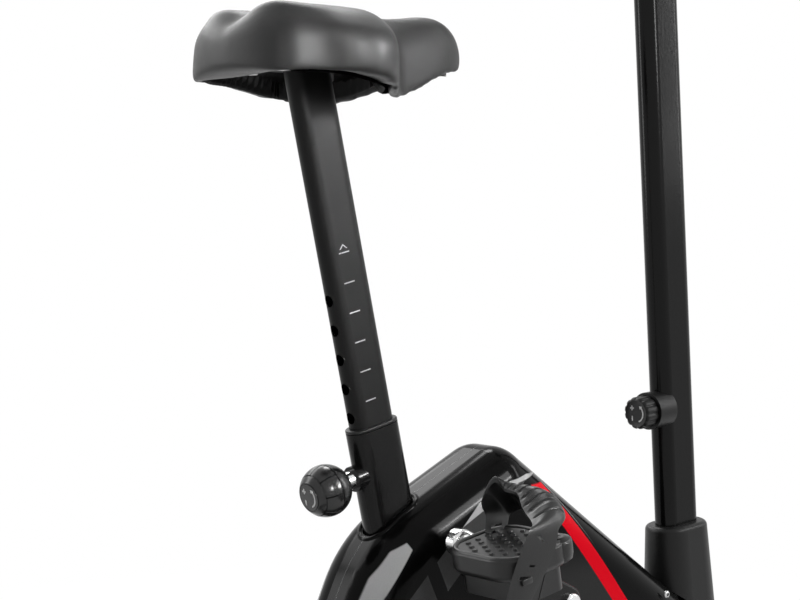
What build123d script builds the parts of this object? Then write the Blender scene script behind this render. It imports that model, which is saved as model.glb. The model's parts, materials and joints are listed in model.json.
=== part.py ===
"""Upright exercise bike with a magnetic brake, as separate pieces in one frame.

Millimetres. +X is forward as the rider faces, +Y is the rider's left, +Z is up.
The floor is Z = 0 and X = 0 is midway between the rearmost and foremost points.
"""

import os
from math import cos, hypot, radians, sin, sqrt, tan

from build123d import *

os.makedirs("parts", exist_ok=True)

# Running, sliding and plain clearances
RUN_FIT = 0.06
SLIDE_FIT = 0.35
BELT_FIT = 0.35
CLEAR = 0.5
HOLE_FIT = 0.25

# Base rail and stabilisers
RAIL_WIDTH = 40.0
RAIL_HEIGHT = 60.0
RAIL_BOTTOM = 22.0
RAIL_WALL = 2.5
RAIL_CORNER = 8.0
STAB_RADIUS = 28.0
STAB_WALL = 2.5
STAB_HEIGHT = 42.0
STAB_FRONT_X = 400.0
STAB_HALF = 240.0
CAP_END = 10.0
CAP_GRIP = 38.0
CAP_WALL = 4.0
CAP_FOOT = 34.0
CAP_EDGE = 2.5
WHEEL_RADIUS = 22.0
WHEEL_WIDTH = 16.0
WHEEL_AHEAD = 54.0
WHEEL_LIFT = 4.0
WHEEL_PIN = 4.0
FORK_EAR = 4.0
FORK_INSET = 8.0
BOLT_RADIUS = 4.0
BOLT_HEAD = 9.0
BOLT_HEAD_HIGH = 5.0
BOLT_SPREAD = 11.0
BOLT_BITE = 16.0

# Seat tube, post and pull pin
SEAT_TOP_X = -180.0
SEAT_TOP_Z = 480.0
SEAT_LEAN = 13.0
POST_LONG = 50.0
POST_WIDE = 25.0
POST_WALL = 2.0
SEAT_TUBE_WALL = 1.5
# Bushing wall at the post's edges and at its flat sides
BUSH_ENDS = 3.15
BUSH_SIDES = 0.65
BUSH_DEEP = 95.0
BUSH_LIP = 4.0
BUSH_EDGE = 1.6
SEAT_TUBE_LONG = POST_LONG + 2 * (SLIDE_FIT + BUSH_ENDS + SEAT_TUBE_WALL)
SEAT_TUBE_WIDE = POST_WIDE + 2 * (SLIDE_FIT + BUSH_SIDES + SEAT_TUBE_WALL)
POST_IN = 112.0
POST_HOLES = 7
POST_PITCH = 30.0
POST_HOLE_RADIUS = 6.0
PIN_DROP = 44.0
PIN_RADIUS = 5.0
PIN_THROW = 8.0
PIN_POINT = 1.0
PIN_REST_GAP = 1.0
PIN_COLLAR = 7.0
PIN_COLLAR_WIDE = 2.0
BOSS_RADIUS = 13.0
BOSS_HIGH = 6.0
BARREL_RADIUS = 9.5
BARREL_THREAD = 8.4
BARREL_LONG = 18.0
BARREL_BORE = 7.4
BARREL_WALL = 2.0
KNOB_RADIUS = 26.0
KNOB_OUT = 40.0
KNOB_NECK = 13.0
KNOB_NECK_BORE = 10.6
KNOB_FACE = 15.0
KNOB_SKIN = 8.0
SPRING_WIRE = 0.5
SPRING_TURNS = 4

# Saddle
ROOF_RISE = 362.0
PAN_THICK = 6.0
PLATE_THICK = 4.0
PLATE_LONG = 120.0
PLATE_WIDE = 74.0
SKIRT = 16.0
PAN_GAP = 1.5
NUT_RADIUS = 7.0
NUT_HIGH = 7.0
# Shares of the half width: drawn-in foot, brow, and where the lobes crest
SADDLE_TUCK = 0.9
SADDLE_BROW = 0.86
SADDLE_CREST = 0.5
# Fore-aft place, half width, skirt height, valley height, lobe height
SADDLE_STATIONS = (
    (-172.0, 60.0, 344.0, 382.0, 387.0),
    (-154.0, 86.0, 338.0, 390.0, 399.0),
    (-110.0, 101.0, 337.0, 393.0, 403.0),
    (-50.0, 99.0, 329.0, 395.0, 402.0),
    (-13.0, 55.0, 327.0, 398.0, 401.0),
    (30.0, 40.0, 338.0, 404.0, 405.0),
    (70.0, 34.0, 352.0, 408.0, 408.5),
    (94.0, 26.0, 359.0, 399.0, 399.5),
    (106.0, 14.0, 365.0, 387.0, 387.5),
)

# Crank set
CRANK_X = 15.0
CRANK_Z = 288.0
CRANK_LONG = 170.0
CRANK_TURN = 151.5
CRANK_IN = 76.0
CRANK_THICK = 14.0
CRANK_BIG = 18.0
CRANK_SMALL = 14.0
AXLE_RADIUS = 8.5
BEARING_RADIUS = 17.5
BEARING_WIDE = 10.0
SHELL_WALL = 4.5
SHELL_RIGHT = -40.0
SHELL_LEFT = 18.0
CRANK_POST_LONG = 40.0
CRANK_POST_WIDE = 30.0
CRANK_POST_WALL = 2.5
BRACE_RISE = 120.0
BRACE_HIGH = 26.0
CRANK_NUT = 11.0
CRANK_NUT_HIGH = 6.0
DRIVE_RADIUS = 92.0
DRIVE_RIM = 9.0
DRIVE_WEB = 4.0
DRIVE_HUB = 22.0
DRIVE_SPOKES = 6
BELT_Y = 22.0
BELT_WIDE = 12.0
BELT_THICK = 3.0
SHEAVE_EXTRA = 2.0

# Flywheel, idler and brake
FLY_X = 150.0
FLY_Z = 195.0
FLY_RADIUS = 95.0
FLY_RIGHT = -16.0
FLY_WIDE = 26.0
FLY_RIM = 25.0
FLY_DISH = 8.0
FLY_HUB = 26.0
FLY_SHEAVE = 20.0
FLY_AXLE = 6.0
FLY_BEARING = 14.0
FLY_BEARING_WIDE = 8.0
FORK_PLATE = 4.0
FORK_RIGHT = -34.0
FORK_LEFT = 43.0
FORK_WIDE = 40.0
FORK_TOP = 18.0
IDLER_RADIUS = 18.0
IDLER_PIN = 4.0
IDLER_X = 58.0
IDLER_ARM = 4.0
BRAKE_GAP = 2.0
MAGNET_THICK = 4.0
BRAKE_THICK = 8.0
BRAKE_HIGH = 14.0
BRAKE_PIVOT = 110.0
BRAKE_PIVOT_TURN = -50.0
BRAKE_PIN = 4.0
BRAKE_EYE = 9.0
MAGNETS = 4
MAGNET_FILL = 0.7

# Shroud
SHROUD_HALF = 52.0
SHROUD_ROUND = 40.0
SHROUD_WALL = 3.0
SHROUD_BOTTOM = 76.0
SHROUD_PARTING = 0.2
SHROUD_AXLE_HOLE = 27.0
SHROUD_TUBE_GAP = 1.5
SHROUD_RAIL_GAP = 2.0
# Outline corners as fore-aft place, height and corner radius, rear to front
SHROUD_CORNERS = (
    (-278.0, 206.0, 120.0),
    (-197.0, 374.0, 150.0),
    (-23.0, 454.0, 34.0),
    (350.0, 190.0, 60.0),
)
SHROUD_REAR_FOOT = -262.0
SHROUD_FRONT_FOOT = 382.0

# Mast, handlebar and console
MAST_X = 300.0
MAST_Z = 230.0
MAST_LEAN = 4.0
MAST_LONG = 60.0
MAST_WIDE = 30.0
MAST_WALL = 2.0
STUB_WALL = 2.5
STUB_TOP = 80.0
MAST_BOTTOM = 0.0
MAST_TOP = 800.0
COVER_TOP = 100.0
COVER_WALL = 3.0
COVER_LOW = -40.0
COVER_LOW_LONG = 98.0
COVER_LOW_WIDE = 72.0
COVER_TOP_LONG = 82.0
COVER_TOP_WIDE = 56.0
MAST_BOLT_LOW = 22.0
MAST_BOLT_HIGH = 58.0
BAR_RADIUS = 12.5
BAR_WALL = 1.5
BAR_BEND = 45.0
CLAMP_LONG = 66.0
CLAMP_WIDE = 54.0
CLAMP_LOW = 18.0
CLAMP_HIGH = 20.0
CLAMP_SLIT = 1.0
CLAMP_BOLT_BACK = 23.0
CLAMP_BOLT = 4.0
CLAMP_HANDLE = 62.0
CLAMP_HANDLE_RADIUS = 6.5
CLAMP_HANDLE_RISE = 12.0
BAR_REACH = ((0.0, 110.0, 0.0), (28.0, 228.0, 56.0), (-172.0, 212.0, 84.0))
GRIP_LONG = 104.0
GRIP_RADIUS = 17.0
SENSOR_LONG = 36.0
SENSOR_RADIUS = 13.6
BRACKET_THICK = 4.0
BRACKET_WIDE = 44.0
BRACKET_TOP = 150.0
CONSOLE_TILT = 35.0
CONSOLE_AHEAD = 12.0
CONSOLE_RISE = 152.0
CONSOLE_WIDE = 190.0
CONSOLE_HIGH = 142.0
CONSOLE_THICK = 34.0
CONSOLE_ROUND = 26.0
CONSOLE_EDGE = 6.0
LENS_WIDE = 128.0
LENS_HIGH = 66.0
LENS_UP = 22.0
LENS_THICK = 3.0
BUTTON_RADIUS = 8.0
BUTTON_HIGH = 5.0
BUTTON_PROUD = 2.5
BUTTON_THROW = 1.5
BUTTON_PITCH = 38.0
BUTTON_DOWN = 40.0
TENSION_RISE = 240.0
TENSION_BASE = 22.0
TENSION_BASE_HIGH = 14.0
TENSION_KNOB = 19.0
TENSION_KNOB_HIGH = 20.0
TENSION_PIN = 5.0

# Pedals
PEDAL_IN = 99.0
PEDAL_LONG = 90.0
PEDAL_WIDE = 102.0
PEDAL_ROUND = 32.0
PEDAL_CORNER = 12.0
PEDAL_TOP = 10.0
PEDAL_WALL_LOW = -13.0
PEDAL_BLOCK_LOW = -36.0
PEDAL_BLOCK_LONG = 58.0
PEDAL_BLOCK_WIDE = 88.0
PEDAL_EDGE = 3.0
PEDAL_UNDER = 7.0
PEDAL_TILT = 10.0
SPINDLE_RADIUS = 6.0
SPINDLE_THREAD = 7.0
SPINDLE_COLLAR = 9.5
SPINDLE_SHORT = 13.0
PEDAL_END = 3.0
STRAP_THICK = 3.0
STRAP_WIDE = 34.0
STRAP_IN = -44.0
STRAP_OUT = 45.0
STRAP_BACK = -10.0
STRAP_TILT = 30.0
STRAP_HIGH = 77.0
STRAP_BEND = 22.0
STRAP_TAIL = -30.0
STRAP_HEEL = -6.0
STRAP_FOOT = 7.4
STRAP_SLOT = 0.6
STRAP_SHOULDER = 32.0
STRAP_LEAN = 18.0

# Shared places that follow from the sizes above
RAIL_TOP = RAIL_BOTTOM + RAIL_HEIGHT
RAIL_MID_Z = RAIL_BOTTOM + RAIL_HEIGHT / 2
REACH = STAB_FRONT_X + WHEEL_AHEAD + WHEEL_RADIUS
CAP_RADIUS = STAB_RADIUS + CAP_WALL
CAP_OUT = STAB_HALF + CAP_END
CAP_IN = STAB_HALF - CAP_GRIP
STAB_REAR_X = CAP_FOOT - REACH
WHEEL_X = STAB_FRONT_X + WHEEL_AHEAD
WHEEL_Z = WHEEL_RADIUS + WHEEL_LIFT
WHEEL_IN = CAP_IN + FORK_INSET
DRIVE_Y = BELT_Y + BELT_WIDE / 2
PEDAL_TURN = radians(CRANK_TURN)
RIGHT_X = CRANK_X + CRANK_LONG * cos(PEDAL_TURN)
RIGHT_Z = CRANK_Z + CRANK_LONG * sin(PEDAL_TURN)
LEFT_X = CRANK_X - CRANK_LONG * cos(PEDAL_TURN)
LEFT_Z = CRANK_Z - CRANK_LONG * sin(PEDAL_TURN)
CRANK_OUT = CRANK_IN + CRANK_THICK
PEDAL_MID = PEDAL_IN + PEDAL_WIDE / 2
PEDAL_OUT = PEDAL_IN + PEDAL_WIDE
TUBE_BACK = SEAT_TUBE_LONG / 2
PIN_REST_TIP = POST_LONG / 2 + SLIDE_FIT + PIN_REST_GAP
BARREL_SEAT = TUBE_BACK + BOSS_HIGH
BARREL_END = BARREL_SEAT + BARREL_LONG
KNOB_MID = TUBE_BACK + KNOB_OUT
KNOB_MOUTH = KNOB_MID - sqrt(KNOB_RADIUS**2 - KNOB_NECK**2)
KNOB_HOLLOW = BARREL_END + PIN_THROW + CLEAR
KNOB_END = KNOB_MID + sqrt(KNOB_RADIUS**2 - KNOB_FACE**2)
PIN_END = KNOB_END - KNOB_SKIN
COLLAR_AT = BARREL_SEAT + PIN_THROW / 2
SPRING_FROM = COLLAR_AT + PIN_COLLAR_WIDE
SPRING_TO = BARREL_END - BARREL_WALL
SPRING_RADIUS = (PIN_RADIUS + BARREL_BORE) / 2


def leaning_plane(x, z, lean):
    """Plane at a tube's station; its local z climbs along a tube leaning rearward."""
    turn = radians(lean)
    forward = (cos(turn), 0, sin(turn))
    along = (-sin(turn), 0, cos(turn))
    return Plane(origin=(x, 0, z), x_dir=forward, z_dir=along)


def side_plane(y):
    """Upright plane at a sideways place; extruding a positive amount goes right."""
    return Plane.XZ.offset(-y)


def across(x, z, radius, y_low, y_high, mode=Mode.ADD):
    """Cylinder lying across the bike between two sideways places."""
    with Locations(Location((x, (y_low + y_high) / 2, z), (90, 0, 0))):
        Cylinder(radius, y_high - y_low, mode=mode)


def forward_rod(x_low, x_high, radius, y, z, mode=Mode.ADD):
    """Cylinder lying fore and aft."""
    with Locations(Location(((x_low + x_high) / 2, y, z), (0, 90, 0))):
        Cylinder(radius, x_high - x_low, mode=mode)


def rod_on(plane, low, high, radius, mode=Mode.ADD, x=0.0, y=0.0):
    """Cylinder along a plane's normal between two distances from the plane."""
    with Locations(plane.location * Location((x, y, (low + high) / 2))):
        Cylinder(radius, high - low, mode=mode)


def box_on(plane, low, high, mode=Mode.ADD):
    """Box between two corners given in a plane's own coordinates."""
    size = [b - a for a, b in zip(low, high)]
    mid = [(a + b) / 2 for a, b in zip(low, high)]
    with Locations(plane.location * Location(tuple(mid))):
        Box(*size, mode=mode)


SEAT_PLANE = leaning_plane(SEAT_TOP_X, SEAT_TOP_Z, SEAT_LEAN)
PIN_PLANE = Plane(
    origin=SEAT_PLANE.from_local_coords((0, 0, -PIN_DROP)),
    x_dir=(0, 1, 0),
    z_dir=-SEAT_PLANE.x_dir,
)
MAST_PLANE = leaning_plane(MAST_X, MAST_Z, MAST_LEAN)
BAR_RISE = MAST_TOP + CLAMP_LOW
BAR_AT = MAST_PLANE.from_local_coords((0, 0, BAR_RISE))
SEAT_DEEP = (SEAT_TOP_Z - RAIL_BOTTOM) / cos(radians(SEAT_LEAN))
STUB_DEEP = (MAST_Z - RAIL_BOTTOM) / cos(radians(MAST_LEAN)) + STUB_TOP
SADDLE_ROOF = SEAT_TOP_Z + ROOF_RISE
PLATE_TOP = SADDLE_ROOF - PAN_THICK
PLATE_LOW = PLATE_TOP - PLATE_THICK
PLATE_X = SEAT_TOP_X - (PLATE_LOW - SEAT_TOP_Z) * tan(radians(SEAT_LEAN))
POST_LENGTH = (PLATE_TOP - SEAT_TOP_Z) / cos(radians(SEAT_LEAN)) + POST_LONG
FLY_LEFT = FLY_RIGHT + FLY_WIDE
BRAKE_INNER = FLY_RADIUS + BRAKE_GAP + MAGNET_THICK
BRAKE_OUTER = BRAKE_INNER + BRAKE_THICK
PIVOT_X = FLY_X + BRAKE_PIVOT * cos(radians(BRAKE_PIVOT_TURN))
PIVOT_Z = FLY_Z + BRAKE_PIVOT * sin(radians(BRAKE_PIVOT_TURN))
SHELL_RADIUS = BEARING_RADIUS + SHELL_WALL

# Lower straight run of the belt, which the idler presses from below
CENTRES = hypot(FLY_X - CRANK_X, FLY_Z - CRANK_Z)
RUN_X = (FLY_X - CRANK_X) / CENTRES
RUN_Z = (FLY_Z - CRANK_Z) / CENTRES
RUN_SIN = (DRIVE_RADIUS - FLY_SHEAVE) / CENTRES
RUN_COS = sqrt(1 - RUN_SIN**2)
LOW_X = RUN_SIN * RUN_X + RUN_COS * RUN_Z
LOW_Z = RUN_SIN * RUN_Z - RUN_COS * RUN_X
RUN_OFFSET = DRIVE_RADIUS + BELT_FIT + BELT_THICK + BELT_FIT + IDLER_RADIUS
IDLER_Z = CRANK_Z + (RUN_OFFSET - LOW_X * (IDLER_X - CRANK_X)) / LOW_Z

# Base rail with solid coped ends
with BuildPart() as base_rail:
    with Locations(((STAB_FRONT_X + STAB_REAR_X) / 2, 0, RAIL_MID_Z)):
        Box(STAB_FRONT_X - STAB_REAR_X, RAIL_WIDTH, RAIL_HEIGHT)
    fillet(base_rail.edges().filter_by(Axis.X), RAIL_CORNER)
    with Locations(((STAB_FRONT_X + STAB_REAR_X) / 2, 0, RAIL_MID_Z)):
        Box(
            STAB_FRONT_X - STAB_REAR_X - 2 * (STAB_RADIUS + BOLT_BITE),
            RAIL_WIDTH - 2 * RAIL_WALL,
            RAIL_HEIGHT - 2 * RAIL_WALL,
            mode=Mode.SUBTRACT,
        )
    for stab_x in (STAB_REAR_X, STAB_FRONT_X):
        across(stab_x, STAB_HEIGHT, STAB_RADIUS, -RAIL_WIDTH, RAIL_WIDTH, Mode.SUBTRACT)
    for bolt_y in (-BOLT_SPREAD, BOLT_SPREAD):
        forward_rod(
            STAB_REAR_X,
            STAB_REAR_X + STAB_RADIUS + BOLT_BITE,
            BOLT_RADIUS + HOLE_FIT,
            bolt_y,
            STAB_HEIGHT,
            Mode.SUBTRACT,
        )
        forward_rod(
            STAB_FRONT_X - STAB_RADIUS - BOLT_BITE,
            STAB_FRONT_X,
            BOLT_RADIUS + HOLE_FIT,
            bolt_y,
            STAB_HEIGHT,
            Mode.SUBTRACT,
        )
base_rail.part.label = "base_rail"
export_step(base_rail.part, "parts/base_rail.step")

# Stabiliser tubes across the floor
with BuildPart() as front_stabiliser:
    across(STAB_FRONT_X, STAB_HEIGHT, STAB_RADIUS, -STAB_HALF, STAB_HALF)
    across(
        STAB_FRONT_X,
        STAB_HEIGHT,
        STAB_RADIUS - STAB_WALL,
        -STAB_HALF,
        STAB_HALF,
        Mode.SUBTRACT,
    )
    for bolt_y in (-BOLT_SPREAD, BOLT_SPREAD):
        forward_rod(
            STAB_FRONT_X - STAB_RADIUS,
            STAB_FRONT_X + STAB_RADIUS,
            BOLT_RADIUS + HOLE_FIT,
            bolt_y,
            STAB_HEIGHT,
            Mode.SUBTRACT,
        )
front_stabiliser.part.label = "front_stabiliser"
export_step(front_stabiliser.part, "parts/front_stabiliser.step")

with BuildPart() as rear_stabiliser:
    across(STAB_REAR_X, STAB_HEIGHT, STAB_RADIUS, -STAB_HALF, STAB_HALF)
    across(
        STAB_REAR_X,
        STAB_HEIGHT,
        STAB_RADIUS - STAB_WALL,
        -STAB_HALF,
        STAB_HALF,
        Mode.SUBTRACT,
    )
    for bolt_y in (-BOLT_SPREAD, BOLT_SPREAD):
        forward_rod(
            STAB_REAR_X - STAB_RADIUS,
            STAB_REAR_X + STAB_RADIUS,
            BOLT_RADIUS + HOLE_FIT,
            bolt_y,
            STAB_HEIGHT,
            Mode.SUBTRACT,
        )
rear_stabiliser.part.label = "rear_stabiliser"
export_step(rear_stabiliser.part, "parts/rear_stabiliser.step")

# Carriage bolts that hold the stabilisers to the rail
with BuildPart() as stabiliser_bolts:
    for bolt_y in (-BOLT_SPREAD, BOLT_SPREAD):
        forward_rod(
            STAB_FRONT_X - STAB_RADIUS - BOLT_BITE,
            STAB_FRONT_X + STAB_RADIUS,
            BOLT_RADIUS,
            bolt_y,
            STAB_HEIGHT,
        )
        forward_rod(
            STAB_FRONT_X + STAB_RADIUS,
            STAB_FRONT_X + STAB_RADIUS + BOLT_HEAD_HIGH,
            BOLT_HEAD,
            bolt_y,
            STAB_HEIGHT,
        )
        forward_rod(
            STAB_REAR_X - STAB_RADIUS,
            STAB_REAR_X + STAB_RADIUS + BOLT_BITE,
            BOLT_RADIUS,
            bolt_y,
            STAB_HEIGHT,
        )
        forward_rod(
            STAB_REAR_X - STAB_RADIUS - BOLT_HEAD_HIGH,
            STAB_REAR_X - STAB_RADIUS,
            BOLT_HEAD,
            bolt_y,
            STAB_HEIGHT,
        )
stabiliser_bolts.part.label = "stabiliser_bolts"
export_step(stabiliser_bolts.part, "parts/stabiliser_bolts.step")

# Moulded end caps; the front ones carry the transport wheels
with BuildPart() as rear_caps:
    across(STAB_REAR_X, STAB_HEIGHT, CAP_RADIUS, CAP_IN, CAP_OUT)
    with Locations((STAB_REAR_X, (CAP_IN + CAP_OUT) / 2, STAB_HEIGHT / 2)):
        Box(2 * CAP_FOOT, CAP_OUT - CAP_IN, STAB_HEIGHT)
    fillet(rear_caps.edges().filter_by(Axis.Z), CAP_EDGE)
    across(STAB_REAR_X, STAB_HEIGHT, STAB_RADIUS, CAP_IN, STAB_HALF, Mode.SUBTRACT)
    mirror(about=Plane.XZ)
rear_caps.part.label = "rear_caps"
export_step(rear_caps.part, "parts/rear_caps.step")

with BuildPart() as front_caps:
    across(STAB_FRONT_X, STAB_HEIGHT, CAP_RADIUS, CAP_IN, CAP_OUT)
    with Locations((STAB_FRONT_X, (CAP_IN + CAP_OUT) / 2, STAB_HEIGHT / 2)):
        Box(2 * CAP_FOOT, CAP_OUT - CAP_IN, STAB_HEIGHT)
    fillet(front_caps.edges().filter_by(Axis.Z), CAP_EDGE)
    for ear_y in (WHEEL_IN - CLEAR - FORK_EAR, WHEEL_IN + WHEEL_WIDTH + CLEAR):
        with BuildSketch(side_plane(ear_y + FORK_EAR)):
            with Locations((WHEEL_X, WHEEL_Z)):
                Circle(WHEEL_PIN + FORK_EAR)
            with Locations((STAB_FRONT_X, WHEEL_Z)):
                Circle(WHEEL_PIN + 2 * FORK_EAR)
            make_hull()
        extrude(amount=FORK_EAR)
    across(
        WHEEL_X,
        WHEEL_Z,
        WHEEL_RADIUS + CLEAR,
        WHEEL_IN - CLEAR,
        WHEEL_IN + WHEEL_WIDTH + CLEAR,
        Mode.SUBTRACT,
    )
    across(
        WHEEL_X,
        WHEEL_Z,
        WHEEL_PIN,
        WHEEL_IN - CLEAR - FORK_EAR,
        WHEEL_IN + WHEEL_WIDTH + CLEAR + FORK_EAR,
    )
    across(STAB_FRONT_X, STAB_HEIGHT, STAB_RADIUS, CAP_IN, STAB_HALF, Mode.SUBTRACT)
    mirror(about=Plane.XZ)
front_caps.part.label = "front_caps"
export_step(front_caps.part, "parts/front_caps.step")

with BuildPart() as left_wheel:
    across(WHEEL_X, WHEEL_Z, WHEEL_RADIUS, WHEEL_IN, WHEEL_IN + WHEEL_WIDTH)
    fillet(left_wheel.edges(), CAP_EDGE)
    across(
        WHEEL_X,
        WHEEL_Z,
        WHEEL_PIN + RUN_FIT,
        WHEEL_IN,
        WHEEL_IN + WHEEL_WIDTH,
        Mode.SUBTRACT,
    )
left_wheel.part.label = "left_wheel"
export_step(left_wheel.part, "parts/left_wheel.step")

with BuildPart() as right_wheel:
    across(WHEEL_X, WHEEL_Z, WHEEL_RADIUS, -WHEEL_IN - WHEEL_WIDTH, -WHEEL_IN)
    fillet(right_wheel.edges(), CAP_EDGE)
    across(
        WHEEL_X,
        WHEEL_Z,
        WHEEL_PIN + RUN_FIT,
        -WHEEL_IN - WHEEL_WIDTH,
        -WHEEL_IN,
        Mode.SUBTRACT,
    )
right_wheel.part.label = "right_wheel"
export_step(right_wheel.part, "parts/right_wheel.step")

# Seat tube with the welded boss of the pull pin
with BuildPart() as seat_tube:
    rod_on(PIN_PLANE, 0, BARREL_SEAT, BOSS_RADIUS)
    with BuildSketch(SEAT_PLANE):
        SlotOverall(SEAT_TUBE_LONG, SEAT_TUBE_WIDE)
    extrude(amount=-SEAT_DEEP)
    with BuildSketch(SEAT_PLANE):
        SlotOverall(
            SEAT_TUBE_LONG - 2 * SEAT_TUBE_WALL, SEAT_TUBE_WIDE - 2 * SEAT_TUBE_WALL
        )
    extrude(amount=-SEAT_DEEP, mode=Mode.SUBTRACT)
    rod_on(PIN_PLANE, 0, BARREL_SEAT, BARREL_THREAD, Mode.SUBTRACT)
    split(bisect_by=Plane.XY.offset(RAIL_TOP), keep=Keep.TOP)
seat_tube.part.label = "seat_tube"
export_step(seat_tube.part, "parts/seat_tube.step")

# Plastic bushing in the mouth of the seat tube
with BuildPart() as seat_bushing:
    with BuildSketch(SEAT_PLANE):
        SlotOverall(SEAT_TUBE_LONG, SEAT_TUBE_WIDE)
    extrude(amount=BUSH_LIP)
    fillet(seat_bushing.faces().sort_by(Axis.Z)[-1].edges(), BUSH_EDGE)
    with BuildSketch(SEAT_PLANE):
        SlotOverall(
            SEAT_TUBE_LONG - 2 * SEAT_TUBE_WALL, SEAT_TUBE_WIDE - 2 * SEAT_TUBE_WALL
        )
    extrude(amount=-BUSH_DEEP)
    with BuildSketch(SEAT_PLANE.offset(BUSH_LIP)):
        SlotOverall(POST_LONG + 2 * SLIDE_FIT, POST_WIDE + 2 * SLIDE_FIT)
    extrude(amount=-BUSH_DEEP - BUSH_LIP, mode=Mode.SUBTRACT)
    rod_on(PIN_PLANE, 0, BARREL_SEAT, BARREL_BORE, Mode.SUBTRACT)
seat_bushing.part.label = "seat_bushing"
export_step(seat_bushing.part, "parts/seat_bushing.step")

# Threaded barrel of the pull pin
with BuildPart() as pin_barrel:
    rod_on(PIN_PLANE, TUBE_BACK, BARREL_SEAT, BARREL_THREAD)
    rod_on(PIN_PLANE, BARREL_SEAT, BARREL_END, BARREL_RADIUS)
    rod_on(PIN_PLANE, TUBE_BACK, SPRING_TO, BARREL_BORE, Mode.SUBTRACT)
    rod_on(PIN_PLANE, SPRING_TO, BARREL_END, PIN_RADIUS + SLIDE_FIT, Mode.SUBTRACT)
pin_barrel.part.label = "pin_barrel"
export_step(pin_barrel.part, "parts/pin_barrel.step")

# Pull pin, drawn clear of the post
with BuildPart() as pull_pin:
    rod_on(PIN_PLANE, PIN_REST_TIP, PIN_END, PIN_RADIUS)
    chamfer(pull_pin.edges().sort_by(Axis.X)[-1], PIN_POINT)
    rod_on(PIN_PLANE, COLLAR_AT, SPRING_FROM, PIN_COLLAR)
pull_pin.part.label = "pull_pin"
export_step(pull_pin.part, "parts/pull_pin.step")

# Spring of the pull pin, each quarter turn an arc
with BuildPart() as pin_spring:
    low = SPRING_FROM + SPRING_WIRE
    climb = (SPRING_TO - SPRING_FROM - 2 * SPRING_WIRE) / (4 * SPRING_TURNS)
    turns = [
        (
            SPRING_RADIUS * cos(radians(45 * k)),
            SPRING_RADIUS * sin(radians(45 * k)),
            low + climb * k / 2,
        )
        for k in range(8 * SPRING_TURNS + 1)
    ]
    with BuildLine(PIN_PLANE) as coil:
        for k in range(0, 8 * SPRING_TURNS, 2):
            ThreePointArc(turns[k], turns[k + 1], turns[k + 2])
    with BuildSketch(Plane(origin=coil.line @ 0, z_dir=coil.line % 0)):
        Circle(SPRING_WIRE)
    sweep(path=coil.line)
pin_spring.part.label = "pin_spring"
export_step(pin_spring.part, "parts/pin_spring.step")

# Ball knob with a hollow neck and a flat end
with BuildPart() as adjuster_knob:
    with Locations(PIN_PLANE.location * Location((0, 0, KNOB_MID))):
        Sphere(KNOB_RADIUS)
    rod_on(PIN_PLANE, KNOB_MOUTH - CLEAR, KNOB_MID, KNOB_NECK)
    rod_on(PIN_PLANE, KNOB_END, KNOB_MID + KNOB_RADIUS, KNOB_RADIUS, Mode.SUBTRACT)
    rod_on(PIN_PLANE, KNOB_MID - KNOB_RADIUS - CLEAR, KNOB_HOLLOW, KNOB_NECK_BORE, Mode.SUBTRACT)
    rod_on(PIN_PLANE, KNOB_HOLLOW, PIN_END + CLEAR, PIN_RADIUS + RUN_FIT, Mode.SUBTRACT)
adjuster_knob.part.label = "adjuster_knob"
export_step(adjuster_knob.part, "parts/adjuster_knob.step")

# Seat post with its holes and the plate that takes the saddle
with BuildPart() as seat_post:
    with BuildSketch(SEAT_PLANE.offset(-POST_IN)):
        SlotOverall(POST_LONG, POST_WIDE)
        SlotOverall(POST_LONG - 2 * POST_WALL, POST_WIDE - 2 * POST_WALL, mode=Mode.SUBTRACT)
    extrude(amount=POST_IN + POST_LENGTH)
    for k in range(POST_HOLES):
        rod_on(PIN_PLANE, 0, POST_LONG, POST_HOLE_RADIUS, Mode.SUBTRACT, y=-k * POST_PITCH)
    split(bisect_by=Plane.XY.offset(PLATE_LOW), keep=Keep.BOTTOM)
    with BuildSketch(Plane.XY.offset(PLATE_LOW)):
        with Locations((PLATE_X, 0)):
            RectangleRounded(PLATE_LONG, PLATE_WIDE, NUT_RADIUS)
    extrude(amount=PLATE_THICK)
seat_post.part.label = "seat_post"
export_step(seat_post.part, "parts/seat_post.step")

# Saddle cushion, lofted through its stations, with a hollow underside
with BuildPart() as saddle:
    for place, half, skirt, valley, lobe in SADDLE_STATIONS:
        base = skirt + SEAT_TOP_Z
        dip = valley + SEAT_TOP_Z
        peak = lobe + SEAT_TOP_Z
        waist = (base + dip) / 2
        brow = base + SADDLE_BROW * (dip - base)
        foot_y = SADDLE_TUCK * half
        brow_y = SADDLE_BROW * half
        crest_y = SADDLE_CREST * half
        section = Plane(
            origin=(SEAT_TOP_X + place, 0, 0), x_dir=(0, 1, 0), z_dir=(1, 0, 0)
        )
        with BuildSketch(section):
            with BuildLine():
                Line((-foot_y, base), (foot_y, base))
                ThreePointArc((foot_y, base), (half, waist), (brow_y, brow))
                ThreePointArc((brow_y, brow), (crest_y, peak), (0, dip))
                ThreePointArc((0, dip), (-crest_y, peak), (-brow_y, brow))
                ThreePointArc((-brow_y, brow), (-half, waist), (-foot_y, base))
            make_face()
    loft()
    inner = [
        (SEAT_TOP_X + place, half - SKIRT) for place, half, *rest in SADDLE_STATIONS[1:-1]
    ]
    with BuildSketch(Plane.XY.offset(SEAT_TOP_Z)):
        with BuildLine():
            Polyline(*inner, *[(x, -y) for x, y in reversed(inner)], close=True)
        make_face()
    extrude(amount=ROOF_RISE, mode=Mode.SUBTRACT)
saddle.part.label = "saddle"
export_step(saddle.part, "parts/saddle.step")

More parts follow.
